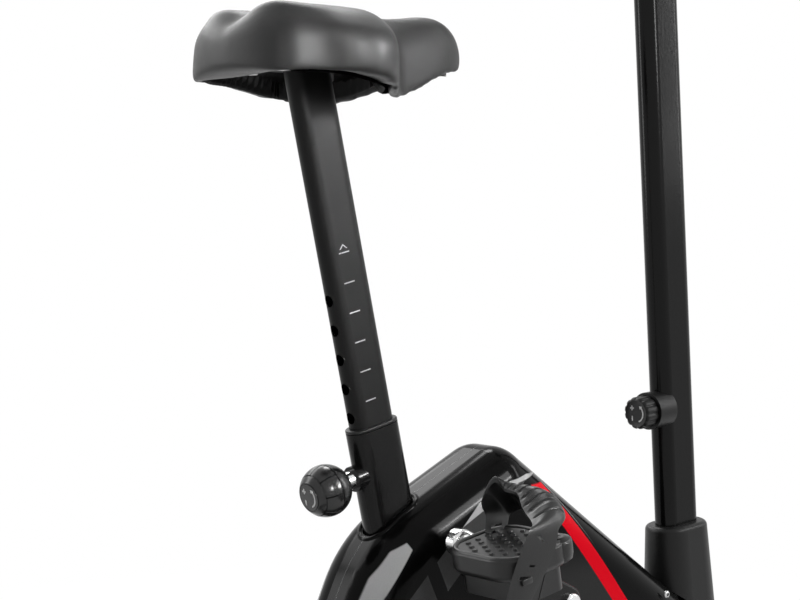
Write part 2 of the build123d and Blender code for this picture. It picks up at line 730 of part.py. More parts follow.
# Rigid pan under the cushion
with BuildPart() as saddle_pan:
    with BuildSketch(Plane.XY.offset(SADDLE_ROOF - PAN_THICK)):
        with BuildLine():
            Polyline(*inner, *[(x, -y) for x, y in reversed(inner)], close=True)
        make_face()
        offset(amount=-PAN_GAP)
    extrude(amount=PAN_THICK)
saddle_pan.part.label = "saddle_pan"
export_step(saddle_pan.part, "parts/saddle_pan.step")

# Nuts under the saddle plate
with BuildPart() as saddle_nuts:
    with BuildSketch(Plane.XY.offset(PLATE_LOW)):
        with Locations((PLATE_X, 0)):
            with GridLocations(PLATE_LONG - 4 * NUT_RADIUS, PLATE_WIDE - 3 * NUT_RADIUS, 2, 2):
                RegularPolygon(NUT_RADIUS, 6)
    extrude(amount=-NUT_HIGH)
saddle_nuts.part.label = "saddle_nuts"
export_step(saddle_nuts.part, "parts/saddle_nuts.step")

# Upright post with the crank bearing shell, the brace and the idler arm
with BuildPart() as crank_post:
    with BuildSketch(Plane.XY.offset(RAIL_TOP)):
        with Locations((CRANK_X, 0)):
            RectangleRounded(CRANK_POST_LONG, CRANK_POST_WIDE, 2 * CRANK_POST_WALL)
    extrude(amount=CRANK_Z - RAIL_TOP)
    with BuildSketch(Plane.XY.offset(RAIL_TOP + BRACE_RISE)):
        with Locations(((SEAT_TOP_X + CRANK_X) / 2, 0)):
            Rectangle(CRANK_X - SEAT_TOP_X, CRANK_POST_WIDE - 2 * CRANK_POST_WALL)
    extrude(amount=BRACE_HIGH)
    with BuildSketch(SEAT_PLANE):
        SlotOverall(SEAT_TUBE_LONG, SEAT_TUBE_WIDE)
        with Locations((-SEAT_TUBE_LONG, 0)):
            Rectangle(2 * SEAT_TUBE_LONG, 2 * SEAT_TUBE_WIDE)
    extrude(amount=-SEAT_DEEP, mode=Mode.SUBTRACT)
    across(CRANK_X, CRANK_Z, SHELL_RADIUS, SHELL_RIGHT, SHELL_LEFT)
    across(CRANK_X, CRANK_Z, BEARING_RADIUS, SHELL_RIGHT, SHELL_LEFT, Mode.SUBTRACT)
    arm_half = IDLER_PIN + 2 * IDLER_ARM
    with BuildSketch(side_plane(CRANK_POST_WIDE / 2 + IDLER_ARM)):
        with Locations((IDLER_X, IDLER_Z)):
            Circle(arm_half)
        with Locations((CRANK_X, IDLER_Z)):
            Circle(arm_half)
        make_hull()
    extrude(amount=IDLER_ARM)
    across(IDLER_X, IDLER_Z, IDLER_PIN, CRANK_POST_WIDE / 2, BELT_Y + BELT_WIDE + IDLER_ARM)
crank_post.part.label = "crank_post"
export_step(crank_post.part, "parts/crank_post.step")

# Bearings pressed into the shell
with BuildPart() as crank_bearings:
    for start in (SHELL_RIGHT, SHELL_LEFT - BEARING_WIDE):
        across(CRANK_X, CRANK_Z, BEARING_RADIUS, start, start + BEARING_WIDE)
        across(
            CRANK_X,
            CRANK_Z,
            AXLE_RADIUS + RUN_FIT,
            start,
            start + BEARING_WIDE,
            Mode.SUBTRACT,
        )
crank_bearings.part.label = "crank_bearings"
export_step(crank_bearings.part, "parts/crank_bearings.step")

# Crank axle and the nuts on its ends
with BuildPart() as crank_axle:
    across(CRANK_X, CRANK_Z, AXLE_RADIUS, -CRANK_OUT, CRANK_OUT)
crank_axle.part.label = "crank_axle"
export_step(crank_axle.part, "parts/crank_axle.step")

with BuildPart() as crank_nuts:
    across(CRANK_X, CRANK_Z, CRANK_NUT, CRANK_OUT, CRANK_OUT + CRANK_NUT_HIGH)
    fillet(crank_nuts.faces().sort_by(Axis.Y)[-1].edges(), CRANK_NUT_HIGH / 2)
    mirror(about=Plane.XZ)
crank_nuts.part.label = "crank_nuts"
export_step(crank_nuts.part, "parts/crank_nuts.step")

# Drive pulley with windows in its web
with BuildPart() as drive_pulley:
    sheave_low = BELT_Y - SHEAVE_EXTRA
    sheave_high = BELT_Y + BELT_WIDE + SHEAVE_EXTRA
    across(CRANK_X, CRANK_Z, DRIVE_RADIUS, sheave_low, sheave_high)
    for low, high in (
        (sheave_low, DRIVE_Y - DRIVE_WEB / 2),
        (DRIVE_Y + DRIVE_WEB / 2, sheave_high),
    ):
        across(CRANK_X, CRANK_Z, DRIVE_RADIUS - DRIVE_RIM, low, high, Mode.SUBTRACT)
    across(CRANK_X, CRANK_Z, DRIVE_HUB, sheave_low, sheave_high)
    with BuildSketch(side_plane(sheave_high)):
        with Locations((CRANK_X, CRANK_Z)):
            with PolarLocations((DRIVE_RADIUS - DRIVE_RIM + DRIVE_HUB) / 2, DRIVE_SPOKES):
                Circle(DRIVE_HUB)
    extrude(amount=sheave_high - sheave_low, mode=Mode.SUBTRACT)
    across(CRANK_X, CRANK_Z, AXLE_RADIUS, sheave_low, sheave_high, Mode.SUBTRACT)
drive_pulley.part.label = "drive_pulley"
export_step(drive_pulley.part, "parts/drive_pulley.step")

# Drive belt
with BuildPart() as drive_belt:
    with BuildSketch(side_plane(BELT_Y + BELT_WIDE)):
        with Locations((CRANK_X, CRANK_Z)):
            Circle(DRIVE_RADIUS + BELT_FIT + BELT_THICK)
        with Locations((FLY_X, FLY_Z)):
            Circle(FLY_SHEAVE + BELT_FIT + BELT_THICK)
        make_hull()
    extrude(amount=BELT_WIDE)
    with BuildSketch(side_plane(BELT_Y + BELT_WIDE)):
        with Locations((CRANK_X, CRANK_Z)):
            Circle(DRIVE_RADIUS + BELT_FIT)
        with Locations((FLY_X, FLY_Z)):
            Circle(FLY_SHEAVE + BELT_FIT)
        make_hull()
    extrude(amount=BELT_WIDE, mode=Mode.SUBTRACT)
drive_belt.part.label = "drive_belt"
export_step(drive_belt.part, "parts/drive_belt.step")

# Cranks, opposite each other
with BuildPart() as right_crank:
    with BuildSketch(side_plane(-CRANK_IN)):
        with Locations((CRANK_X, CRANK_Z)):
            Circle(CRANK_BIG)
        with Locations((RIGHT_X, RIGHT_Z)):
            Circle(CRANK_SMALL)
        make_hull()
    extrude(amount=CRANK_THICK)
    fillet(right_crank.faces().sort_by(Axis.Y)[0].edges(), CRANK_THICK / 3)
    across(CRANK_X, CRANK_Z, AXLE_RADIUS, -CRANK_OUT, -CRANK_IN, Mode.SUBTRACT)
    across(RIGHT_X, RIGHT_Z, SPINDLE_THREAD, -CRANK_OUT, -CRANK_IN, Mode.SUBTRACT)
right_crank.part.label = "right_crank"
export_step(right_crank.part, "parts/right_crank.step")

with BuildPart() as left_crank:
    with BuildSketch(side_plane(CRANK_OUT)):
        with Locations((CRANK_X, CRANK_Z)):
            Circle(CRANK_BIG)
        with Locations((LEFT_X, LEFT_Z)):
            Circle(CRANK_SMALL)
        make_hull()
    extrude(amount=CRANK_THICK)
    fillet(left_crank.faces().sort_by(Axis.Y)[-1].edges(), CRANK_THICK / 3)
    across(CRANK_X, CRANK_Z, AXLE_RADIUS, CRANK_IN, CRANK_OUT, Mode.SUBTRACT)
    across(LEFT_X, LEFT_Z, SPINDLE_THREAD, CRANK_IN, CRANK_OUT, Mode.SUBTRACT)
left_crank.part.label = "left_crank"
export_step(left_crank.part, "parts/left_crank.step")

# Pedal spindles screwed into the cranks
with BuildPart() as right_spindle:
    across(RIGHT_X, RIGHT_Z, SPINDLE_THREAD, -CRANK_OUT, -CRANK_IN)
    across(RIGHT_X, RIGHT_Z, SPINDLE_COLLAR, CLEAR * 2 - PEDAL_IN, -CRANK_OUT)
    across(RIGHT_X, RIGHT_Z, SPINDLE_RADIUS, SPINDLE_SHORT - PEDAL_OUT, -CRANK_OUT)
right_spindle.part.label = "right_spindle"
export_step(right_spindle.part, "parts/right_spindle.step")

with BuildPart() as left_spindle:
    across(LEFT_X, LEFT_Z, SPINDLE_THREAD, CRANK_IN, CRANK_OUT)
    across(LEFT_X, LEFT_Z, SPINDLE_COLLAR, CRANK_OUT, PEDAL_IN - CLEAR * 2)
    across(LEFT_X, LEFT_Z, SPINDLE_RADIUS, CRANK_OUT, PEDAL_OUT - SPINDLE_SHORT)
left_spindle.part.label = "left_spindle"
export_step(left_spindle.part, "parts/left_spindle.step")


def pedal_plane(x, y, z):
    """Plane at the middle of a pedal; its local x points to the pedal's front."""
    turn = radians(PEDAL_TILT)
    return Plane(
        origin=(x, y, z), x_dir=(cos(turn), 0, sin(turn)), z_dir=(-sin(turn), 0, cos(turn))
    )


RIGHT_PEDAL = pedal_plane(RIGHT_X, -PEDAL_MID, RIGHT_Z)
LEFT_PEDAL = pedal_plane(LEFT_X, PEDAL_MID, LEFT_Z)
STRAP_SHIFT = Location((STRAP_BACK, 0, 0), (0, STRAP_TILT, 0))
RIGHT_STRAP = Plane(RIGHT_PEDAL.location * STRAP_SHIFT)
LEFT_STRAP = Plane(LEFT_PEDAL.location * STRAP_SHIFT)
STRAP_RUN = tan(radians(STRAP_TILT))
STRAP_REACH = STRAP_WIDE / 2 / cos(radians(STRAP_TILT)) + STRAP_SLOT
SLOT_REAR = STRAP_BACK + STRAP_FOOT * STRAP_RUN - STRAP_REACH
SLOT_FRONT = STRAP_BACK + PEDAL_TOP * STRAP_RUN + STRAP_REACH

# Pedal bodies: rounded tread, deep weighted middle, two strap slots
with BuildPart() as right_pedal:
    with BuildSketch(RIGHT_PEDAL.offset(PEDAL_WALL_LOW)):
        RectangleRounded(PEDAL_LONG, PEDAL_WIDE, PEDAL_ROUND)
    extrude(amount=PEDAL_TOP - PEDAL_WALL_LOW)
    fillet(right_pedal.faces().sort_by(Axis.Z)[-1].edges(), PEDAL_EDGE)
    fillet(right_pedal.faces().sort_by(Axis.Z)[0].edges(), PEDAL_UNDER)
    with BuildSketch(RIGHT_PEDAL.offset(PEDAL_BLOCK_LOW)):
        RectangleRounded(PEDAL_BLOCK_LONG, PEDAL_BLOCK_WIDE, PEDAL_CORNER)
    extrude(amount=PEDAL_WALL_LOW - PEDAL_BLOCK_LOW)
    box_on(
        RIGHT_PEDAL,
        (SLOT_REAR, -STRAP_IN - STRAP_THICK / 2, STRAP_FOOT),
        (SLOT_FRONT, -STRAP_IN + STRAP_THICK / 2, PEDAL_TOP + CLEAR),
        Mode.SUBTRACT,
    )
    box_on(
        RIGHT_STRAP,
        (-STRAP_WIDE / 2 - STRAP_SLOT, -STRAP_OUT - STRAP_THICK / 2, 2 * PEDAL_BLOCK_LOW),
        (STRAP_WIDE / 2 + STRAP_SLOT, -STRAP_OUT + STRAP_THICK / 2, STRAP_SHOULDER),
        Mode.SUBTRACT,
    )
    across(
        RIGHT_X,
        RIGHT_Z,
        SPINDLE_RADIUS + RUN_FIT,
        SPINDLE_SHORT - PEDAL_END - PEDAL_OUT,
        -PEDAL_IN,
        Mode.SUBTRACT,
    )
right_pedal.part.label = "right_pedal"
export_step(right_pedal.part, "parts/right_pedal.step")

with BuildPart() as left_pedal:
    with BuildSketch(LEFT_PEDAL.offset(PEDAL_WALL_LOW)):
        RectangleRounded(PEDAL_LONG, PEDAL_WIDE, PEDAL_ROUND)
    extrude(amount=PEDAL_TOP - PEDAL_WALL_LOW)
    fillet(left_pedal.faces().sort_by(Axis.Z)[-1].edges(), PEDAL_EDGE)
    fillet(left_pedal.faces().sort_by(Axis.Z)[0].edges(), PEDAL_UNDER)
    with BuildSketch(LEFT_PEDAL.offset(PEDAL_BLOCK_LOW)):
        RectangleRounded(PEDAL_BLOCK_LONG, PEDAL_BLOCK_WIDE, PEDAL_CORNER)
    extrude(amount=PEDAL_WALL_LOW - PEDAL_BLOCK_LOW)
    box_on(
        LEFT_PEDAL,
        (SLOT_REAR, STRAP_IN - STRAP_THICK / 2, STRAP_FOOT),
        (SLOT_FRONT, STRAP_IN + STRAP_THICK / 2, PEDAL_TOP + CLEAR),
        Mode.SUBTRACT,
    )
    box_on(
        LEFT_STRAP,
        (-STRAP_WIDE / 2 - STRAP_SLOT, STRAP_OUT - STRAP_THICK / 2, 2 * PEDAL_BLOCK_LOW),
        (STRAP_WIDE / 2 + STRAP_SLOT, STRAP_OUT + STRAP_THICK / 2, STRAP_SHOULDER),
        Mode.SUBTRACT,
    )
    across(
        LEFT_X,
        LEFT_Z,
        SPINDLE_RADIUS + RUN_FIT,
        PEDAL_IN,
        PEDAL_OUT - SPINDLE_SHORT + PEDAL_END,
        Mode.SUBTRACT,
    )
left_pedal.part.label = "left_pedal"
export_step(left_pedal.part, "parts/left_pedal.step")


def strap_plane(plane, outward):
    """Upright plane through a pedal; its local x points outward from the bike."""
    return Plane(
        origin=plane.origin, x_dir=(0, outward, 0), z_dir=plane.x_dir * outward
    )


STRAP_PATH = (
    (STRAP_IN, STRAP_HEEL),
    (STRAP_IN, STRAP_HIGH - STRAP_SHOULDER),
    (STRAP_IN + STRAP_LEAN, STRAP_HIGH),
    (STRAP_OUT - STRAP_LEAN, STRAP_HIGH),
    (STRAP_OUT, STRAP_HIGH - STRAP_SHOULDER),
    (STRAP_OUT, STRAP_TAIL),
)

# Pedal straps arching over the foot
with BuildPart() as right_strap:
    with BuildSketch(strap_plane(RIGHT_STRAP, -1)):
        with BuildLine() as band:
            FilletPolyline(*STRAP_PATH, radius=STRAP_BEND)
            offset(amount=STRAP_THICK / 2)
        make_face()
    extrude(amount=STRAP_WIDE / 2, both=True)
    box_on(
        RIGHT_PEDAL,
        (-PEDAL_LONG, 0, 2 * PEDAL_BLOCK_LOW),
        (PEDAL_LONG, PEDAL_WIDE, STRAP_FOOT),
        Mode.SUBTRACT,
    )
right_strap.part.label = "right_strap"
export_step(right_strap.part, "parts/right_strap.step")

with BuildPart() as left_strap:
    with BuildSketch(strap_plane(LEFT_STRAP, 1)):
        with BuildLine() as band:
            FilletPolyline(*STRAP_PATH, radius=STRAP_BEND)
            offset(amount=STRAP_THICK / 2)
        make_face()
    extrude(amount=STRAP_WIDE / 2, both=True)
    box_on(
        LEFT_PEDAL,
        (-PEDAL_LONG, -PEDAL_WIDE, 2 * PEDAL_BLOCK_LOW),
        (PEDAL_LONG, 0, STRAP_FOOT),
        Mode.SUBTRACT,
    )
left_strap.part.label = "left_strap"
export_step(left_strap.part, "parts/left_strap.step")

# Flywheel with dished sides, its belt sheave and bearings
with BuildPart() as flywheel:
    across(FLY_X, FLY_Z, FLY_RADIUS, FLY_RIGHT, FLY_LEFT)
    for low, high in (
        (FLY_RIGHT, FLY_RIGHT + FLY_DISH),
        (FLY_LEFT - FLY_DISH, FLY_LEFT),
    ):
        across(FLY_X, FLY_Z, FLY_RADIUS - FLY_RIM, low, high, Mode.SUBTRACT)
    across(FLY_X, FLY_Z, FLY_HUB, FLY_RIGHT, FLY_LEFT)
    across(FLY_X, FLY_Z, FLY_BEARING, FLY_RIGHT, FLY_LEFT, Mode.SUBTRACT)
flywheel.part.label = "flywheel"
export_step(flywheel.part, "parts/flywheel.step")

with BuildPart() as flywheel_sheave:
    across(FLY_X, FLY_Z, FLY_SHEAVE, BELT_Y - SHEAVE_EXTRA, BELT_Y + BELT_WIDE + SHEAVE_EXTRA)
    across(FLY_X, FLY_Z, (FLY_HUB + FLY_BEARING) / 2, FLY_LEFT, BELT_Y)
    across(
        FLY_X,
        FLY_Z,
        FLY_AXLE + CLEAR,
        FLY_LEFT,
        BELT_Y + BELT_WIDE + SHEAVE_EXTRA,
        Mode.SUBTRACT,
    )
flywheel_sheave.part.label = "flywheel_sheave"
export_step(flywheel_sheave.part, "parts/flywheel_sheave.step")

with BuildPart() as flywheel_bearings:
    for start in (FLY_RIGHT, FLY_LEFT - FLY_BEARING_WIDE):
        across(FLY_X, FLY_Z, FLY_BEARING, start, start + FLY_BEARING_WIDE)
        across(
            FLY_X,
            FLY_Z,
            FLY_AXLE + RUN_FIT,
            start,
            start + FLY_BEARING_WIDE,
            Mode.SUBTRACT,
        )
flywheel_bearings.part.label = "flywheel_bearings"
export_step(flywheel_bearings.part, "parts/flywheel_bearings.step")

# Fork on the rail that holds the flywheel axle and the brake pivot
with BuildPart() as flywheel_fork:
    fork_foot = RAIL_TOP + FORK_PLATE
    box_on(
        Plane.XY,
        (FLY_X - FORK_WIDE / 2, FORK_RIGHT, RAIL_TOP),
        (PIVOT_X + BRAKE_EYE, FORK_LEFT, fork_foot),
    )
    for plate_y in (FORK_RIGHT + FORK_PLATE, FORK_LEFT):
        with BuildSketch(side_plane(plate_y)):
            with Locations((FLY_X, FLY_Z)):
                Circle(FORK_TOP)
            with Locations((FLY_X, (FLY_Z + fork_foot) / 2)):
                Rectangle(2 * FORK_TOP, FLY_Z - fork_foot)
        extrude(amount=FORK_PLATE)
    ear_out = FORK_PLATE + CLEAR
    for ear_y in (FLY_RIGHT - CLEAR, FLY_LEFT + ear_out):
        with BuildSketch(side_plane(ear_y)):
            with Locations((PIVOT_X, PIVOT_Z)):
                Circle(BRAKE_EYE)
            with Locations((PIVOT_X, (PIVOT_Z + fork_foot) / 2)):
                Rectangle(2 * BRAKE_EYE, PIVOT_Z - fork_foot)
        extrude(amount=FORK_PLATE)
    across(PIVOT_X, PIVOT_Z, BRAKE_PIN, FLY_RIGHT - ear_out, FLY_LEFT + ear_out)
    across(FLY_X, FLY_Z, FLY_AXLE, FORK_RIGHT, FORK_LEFT, Mode.SUBTRACT)
flywheel_fork.part.label = "flywheel_fork"
export_step(flywheel_fork.part, "parts/flywheel_fork.step")

# Fixed flywheel axle with a nut on each end
with BuildPart() as flywheel_axle:
    across(FLY_X, FLY_Z, FLY_AXLE, FORK_RIGHT - FORK_PLATE, FORK_LEFT + FORK_PLATE)
    for nut_y in (FORK_RIGHT, FORK_LEFT + FORK_PLATE):
        with BuildSketch(side_plane(nut_y)):
            with Locations((FLY_X, FLY_Z)):
                RegularPolygon(FLY_AXLE + FORK_PLATE, 6)
        extrude(amount=FORK_PLATE)
flywheel_axle.part.label = "flywheel_axle"
export_step(flywheel_axle.part, "parts/flywheel_axle.step")

with BuildPart() as idler_wheel:
    across(IDLER_X, IDLER_Z, IDLER_RADIUS, BELT_Y, BELT_Y + BELT_WIDE)
    across(IDLER_X, IDLER_Z, IDLER_PIN + RUN_FIT, BELT_Y, BELT_Y + BELT_WIDE, Mode.SUBTRACT)
idler_wheel.part.label = "idler_wheel"
export_step(idler_wheel.part, "parts/idler_wheel.step")


def at_fly(radius, turn):
    """Point round the flywheel at a radius and a turn up from straight ahead."""
    return (FLY_X + radius * cos(radians(turn)), FLY_Z + radius * sin(radians(turn)))


def arc_band(inner_radius, outer_radius, start, end):
    """Outline of a band round the flywheel, for the open line builder."""
    middle = (start + end) / 2
    ThreePointArc(
        at_fly(outer_radius, start), at_fly(outer_radius, middle), at_fly(outer_radius, end)
    )
    Line(at_fly(outer_radius, end), at_fly(inner_radius, end))
    ThreePointArc(
        at_fly(inner_radius, end), at_fly(inner_radius, middle), at_fly(inner_radius, start)
    )
    Line(at_fly(inner_radius, start), at_fly(outer_radius, start))


# Brake arm that carries magnets round the flywheel's front
with BuildPart() as brake_arm:
    with BuildSketch(side_plane(FLY_LEFT)):
        with BuildLine():
            arc_band(BRAKE_INNER, BRAKE_OUTER, BRAKE_PIVOT_TURN, BRAKE_HIGH)
        make_face()
        with Locations((PIVOT_X, PIVOT_Z)):
            Circle(BRAKE_EYE)
    extrude(amount=FLY_WIDE)
    across(PIVOT_X, PIVOT_Z, BRAKE_PIN + RUN_FIT, FLY_RIGHT, FLY_LEFT, Mode.SUBTRACT)
brake_arm.part.label = "brake_arm"
export_step(brake_arm.part, "parts/brake_arm.step")

with BuildPart() as brake_magnets:
    magnet_step = (BRAKE_HIGH - BRAKE_PIVOT_TURN) / (MAGNETS + 1)
    for k in range(MAGNETS):
        magnet_start = BRAKE_HIGH - magnet_step * (k + (1 + MAGNET_FILL) / 2)
        with BuildSketch(side_plane(FLY_LEFT - FORK_PLATE)):
            with BuildLine():
                arc_band(
                    BRAKE_INNER - MAGNET_THICK,
                    BRAKE_INNER,
                    magnet_start,
                    magnet_start + MAGNET_FILL * magnet_step,
                )
            make_face()
        extrude(amount=FLY_WIDE - 2 * FORK_PLATE)
brake_magnets.part.label = "brake_magnets"
export_step(brake_magnets.part, "parts/brake_magnets.step")

# Front post socket for the mast
with BuildPart() as mast_stub:
    with BuildSketch(MAST_PLANE.offset(STUB_TOP)):
        SlotOverall(MAST_LONG + 2 * STUB_WALL, MAST_WIDE + 2 * STUB_WALL)
        SlotOverall(MAST_LONG, MAST_WIDE, mode=Mode.SUBTRACT)
    extrude(amount=-STUB_DEEP)
    split(bisect_by=Plane.XY.offset(RAIL_TOP), keep=Keep.TOP)
    for rise in (MAST_BOLT_LOW, MAST_BOLT_HIGH):
        spot = MAST_PLANE.from_local_coords((0, 0, rise))
        across(spot.X, spot.Z, BOLT_RADIUS, -MAST_WIDE, MAST_WIDE, Mode.SUBTRACT)
mast_stub.part.label = "mast_stub"
export_step(mast_stub.part, "parts/mast_stub.step")

# Mast with the lower clamp half and the console bracket
with BuildPart() as mast:
    with BuildSketch(MAST_PLANE.offset(MAST_BOTTOM)):
        SlotOverall(MAST_LONG, MAST_WIDE)
        SlotOverall(MAST_LONG - 2 * MAST_WALL, MAST_WIDE - 2 * MAST_WALL, mode=Mode.SUBTRACT)
    extrude(amount=MAST_TOP - MAST_BOTTOM)
    for rise in (MAST_BOLT_LOW, MAST_BOLT_HIGH):
        spot = MAST_PLANE.from_local_coords((0, 0, rise))
        across(spot.X, spot.Z, BOLT_RADIUS, -MAST_WIDE, MAST_WIDE, Mode.SUBTRACT)
    box_on(
        MAST_PLANE,
        (-CLAMP_LONG / 2, -CLAMP_WIDE / 2, MAST_TOP),
        (CLAMP_LONG / 2, CLAMP_WIDE / 2, BAR_RISE - CLAMP_SLIT / 2),
    )
    across(BAR_AT.X, BAR_AT.Z, BAR_RADIUS + RUN_FIT, -CLAMP_WIDE, CLAMP_WIDE, Mode.SUBTRACT)
    rod_on(
        MAST_PLANE,
        MAST_TOP + CLAMP_BOLT,
        BAR_RISE,
        CLAMP_BOLT + RUN_FIT,
        Mode.SUBTRACT,
        x=-CLAMP_BOLT_BACK,
    )
    box_on(
        MAST_PLANE,
        (CLAMP_LONG / 2, -BRACKET_WIDE / 2, MAST_TOP),
        (CLAMP_LONG / 2 + BRACKET_THICK, BRACKET_WIDE / 2, MAST_TOP + BRACKET_TOP),
    )
mast.part.label = "mast"
export_step(mast.part, "parts/mast.step")

with BuildPart() as mast_bolts:
    for rise in (MAST_BOLT_LOW, MAST_BOLT_HIGH):
        spot = MAST_PLANE.from_local_coords((0, 0, rise))
        face_y = MAST_WIDE / 2 + STUB_WALL
        across(spot.X, spot.Z, BOLT_HEAD, face_y, face_y + BOLT_HEAD_HIGH)
        across(spot.X, spot.Z, BOLT_RADIUS, MAST_WIDE / 2 - 2 * MAST_WALL, face_y)
    mirror(about=Plane.XZ)
mast_bolts.part.label = "mast_bolts"
export_step(mast_bolts.part, "parts/mast_bolts.step")


def shroud_shape(y, inset):
    """Side outline of the shroud at a sideways place, drawn in by an inset."""
    foot = SHROUD_BOTTOM - 4 * SHROUD_WALL
    with BuildSketch(side_plane(y)) as shape:
        with BuildLine():
            Polyline(
                (SHROUD_REAR_FOOT, foot),
                *[(x, z) for x, z, bend in SHROUD_CORNERS],
                (SHROUD_FRONT_FOOT, foot),
                close=True,
            )
        make_face()
        for x, z, bend in SHROUD_CORNERS:
            fillet(shape.vertices().sort_by_distance((x, z, 0))[0], bend)
        if inset:
            offset(amount=-inset)
    return shape.sketch


# Shroud halves, hollow and open underneath
with BuildPart() as shroud_core:
    extrude(shroud_shape(0, SHROUD_WALL), amount=SHROUD_HALF - SHROUD_WALL)
    rim = shroud_core.faces().sort_by(Axis.Y)[0].edges().sort_by(Axis.Z)[1:]
    fillet(rim, SHROUD_ROUND - SHROUD_WALL)

with BuildPart() as right_shroud:
    extrude(shroud_shape(-SHROUD_PARTING / 2, 0), amount=SHROUD_HALF - SHROUD_PARTING / 2)
    rim = right_shroud.faces().sort_by(Axis.Y)[0].edges().sort_by(Axis.Z)[1:]
    fillet(rim, SHROUD_ROUND)
    add(shroud_core.part, mode=Mode.SUBTRACT)
    split(bisect_by=Plane.XY.offset(SHROUD_BOTTOM), keep=Keep.TOP)
    with BuildSketch(SEAT_PLANE):
        SlotOverall(
            SEAT_TUBE_LONG + 2 * SHROUD_TUBE_GAP, SEAT_TUBE_WIDE + 2 * SHROUD_TUBE_GAP
        )
    extrude(amount=-SEAT_DEEP / 2, mode=Mode.SUBTRACT)
    with BuildSketch(MAST_PLANE.offset(STUB_TOP)):
        SlotOverall(
            MAST_LONG + 2 * STUB_WALL + 2 * SHROUD_TUBE_GAP,
            MAST_WIDE + 2 * STUB_WALL + 2 * SHROUD_TUBE_GAP,
        )
    extrude(amount=-STUB_DEEP, mode=Mode.SUBTRACT)
    box_on(
        Plane.XY,
        (STAB_REAR_X, -RAIL_WIDTH / 2 - SHROUD_RAIL_GAP, 0),
        (STAB_FRONT_X, RAIL_WIDTH / 2 + SHROUD_RAIL_GAP, RAIL_TOP + SHROUD_RAIL_GAP),
        Mode.SUBTRACT,
    )
    across(CRANK_X, CRANK_Z, SHROUD_AXLE_HOLE, -2 * SHROUD_HALF, 0, Mode.SUBTRACT)
right_shroud.part.label = "right_shroud"
export_step(right_shroud.part, "parts/right_shroud.step")

with BuildPart() as left_shroud:
    add(right_shroud.part.mirror(Plane.XZ))
left_shroud.part.label = "left_shroud"
export_step(left_shroud.part, "parts/left_shroud.step")

# Boot over the joint of mast and socket, cut to sit on the sloping shroud
CREST_X, CREST_Z, CREST_BEND = SHROUD_CORNERS[2]
BROW_X, BROW_Z, BROW_BEND = SHROUD_CORNERS[3]
SLOPE_RUN = hypot(BROW_X - CREST_X, BROW_Z - CREST_Z)
SLOPE_PLANE = Plane(
    origin=(CREST_X, 0, CREST_Z),
    x_dir=((BROW_X - CREST_X) / SLOPE_RUN, 0, (BROW_Z - CREST_Z) / SLOPE_RUN),
    z_dir=((CREST_Z - BROW_Z) / SLOPE_RUN, 0, (BROW_X - CREST_X) / SLOPE_RUN),
)
with BuildPart() as mast_boot:
    with BuildSketch(MAST_PLANE.offset(COVER_LOW)):
        SlotOverall(COVER_LOW_LONG, COVER_LOW_WIDE)
    with BuildSketch(MAST_PLANE.offset(COVER_TOP)):
        SlotOverall(COVER_TOP_LONG, COVER_TOP_WIDE)
    loft()
    fillet(mast_boot.faces().sort_by(Axis.Z)[-1].edges(), 2 * COVER_WALL)
    with BuildSketch(MAST_PLANE.offset(COVER_LOW)):
        SlotOverall(COVER_LOW_LONG - 2 * COVER_WALL, COVER_LOW_WIDE - 2 * COVER_WALL)
    with BuildSketch(MAST_PLANE.offset(COVER_TOP - COVER_WALL)):
        SlotOverall(COVER_TOP_LONG - 2 * COVER_WALL, COVER_TOP_WIDE - 2 * COVER_WALL)
    loft(mode=Mode.SUBTRACT)
    with BuildSketch(MAST_PLANE.offset(COVER_LOW)):
        SlotOverall(MAST_LONG, MAST_WIDE)
    extrude(amount=COVER_TOP - COVER_LOW, mode=Mode.SUBTRACT)
    split(bisect_by=SLOPE_PLANE, keep=Keep.TOP)
mast_boot.part.label = "mast_boot"
export_step(mast_boot.part, "parts/mast_boot.step")

# Upper clamp half and the handle that tightens it
CAP_TOP = BAR_RISE + CLAMP_HIGH
HANDLE_AT = CAP_TOP + CLAMP_HANDLE_RISE
with BuildPart() as clamp_cap:
    box_on(
        MAST_PLANE,
        (-CLAMP_LONG / 2, -CLAMP_WIDE / 2, BAR_RISE + CLAMP_SLIT / 2),
        (CLAMP_LONG / 2, CLAMP_WIDE / 2, CAP_TOP),
    )
    fillet(clamp_cap.faces().sort_by(Axis.Z)[-1].edges(), 2 * CLAMP_BOLT)
    across(BAR_AT.X, BAR_AT.Z, BAR_RADIUS + RUN_FIT, -CLAMP_WIDE, CLAMP_WIDE, Mode.SUBTRACT)
    rod_on(
        MAST_PLANE,
        BAR_RISE,
        CAP_TOP,
        CLAMP_BOLT + RUN_FIT,
        Mode.SUBTRACT,
        x=-CLAMP_BOLT_BACK,
    )
clamp_cap.part.label = "clamp_cap"
export_step(clamp_cap.part, "parts/clamp_cap.step")

with BuildPart() as clamp_handle:
    spot = MAST_PLANE.from_local_coords((-CLAMP_BOLT_BACK, 0, HANDLE_AT))
    across(spot.X, spot.Z, CLAMP_HANDLE_RADIUS, -CLAMP_HANDLE / 2, CLAMP_HANDLE / 2)
    fillet(clamp_handle.edges(), CLAMP_HANDLE_RADIUS / 2)
    rod_on(
        MAST_PLANE,
        MAST_TOP + CLAMP_BOLT + CLEAR,
        HANDLE_AT,
        CLAMP_BOLT,
        x=-CLAMP_BOLT_BACK,
    )
    rod_on(
        MAST_PLANE, CAP_TOP + CLEAR, HANDLE_AT, 2 * CLAMP_BOLT, x=-CLAMP_BOLT_BACK
    )
clamp_handle.part.label = "clamp_handle"
export_step(clamp_handle.part, "parts/clamp_handle.step")

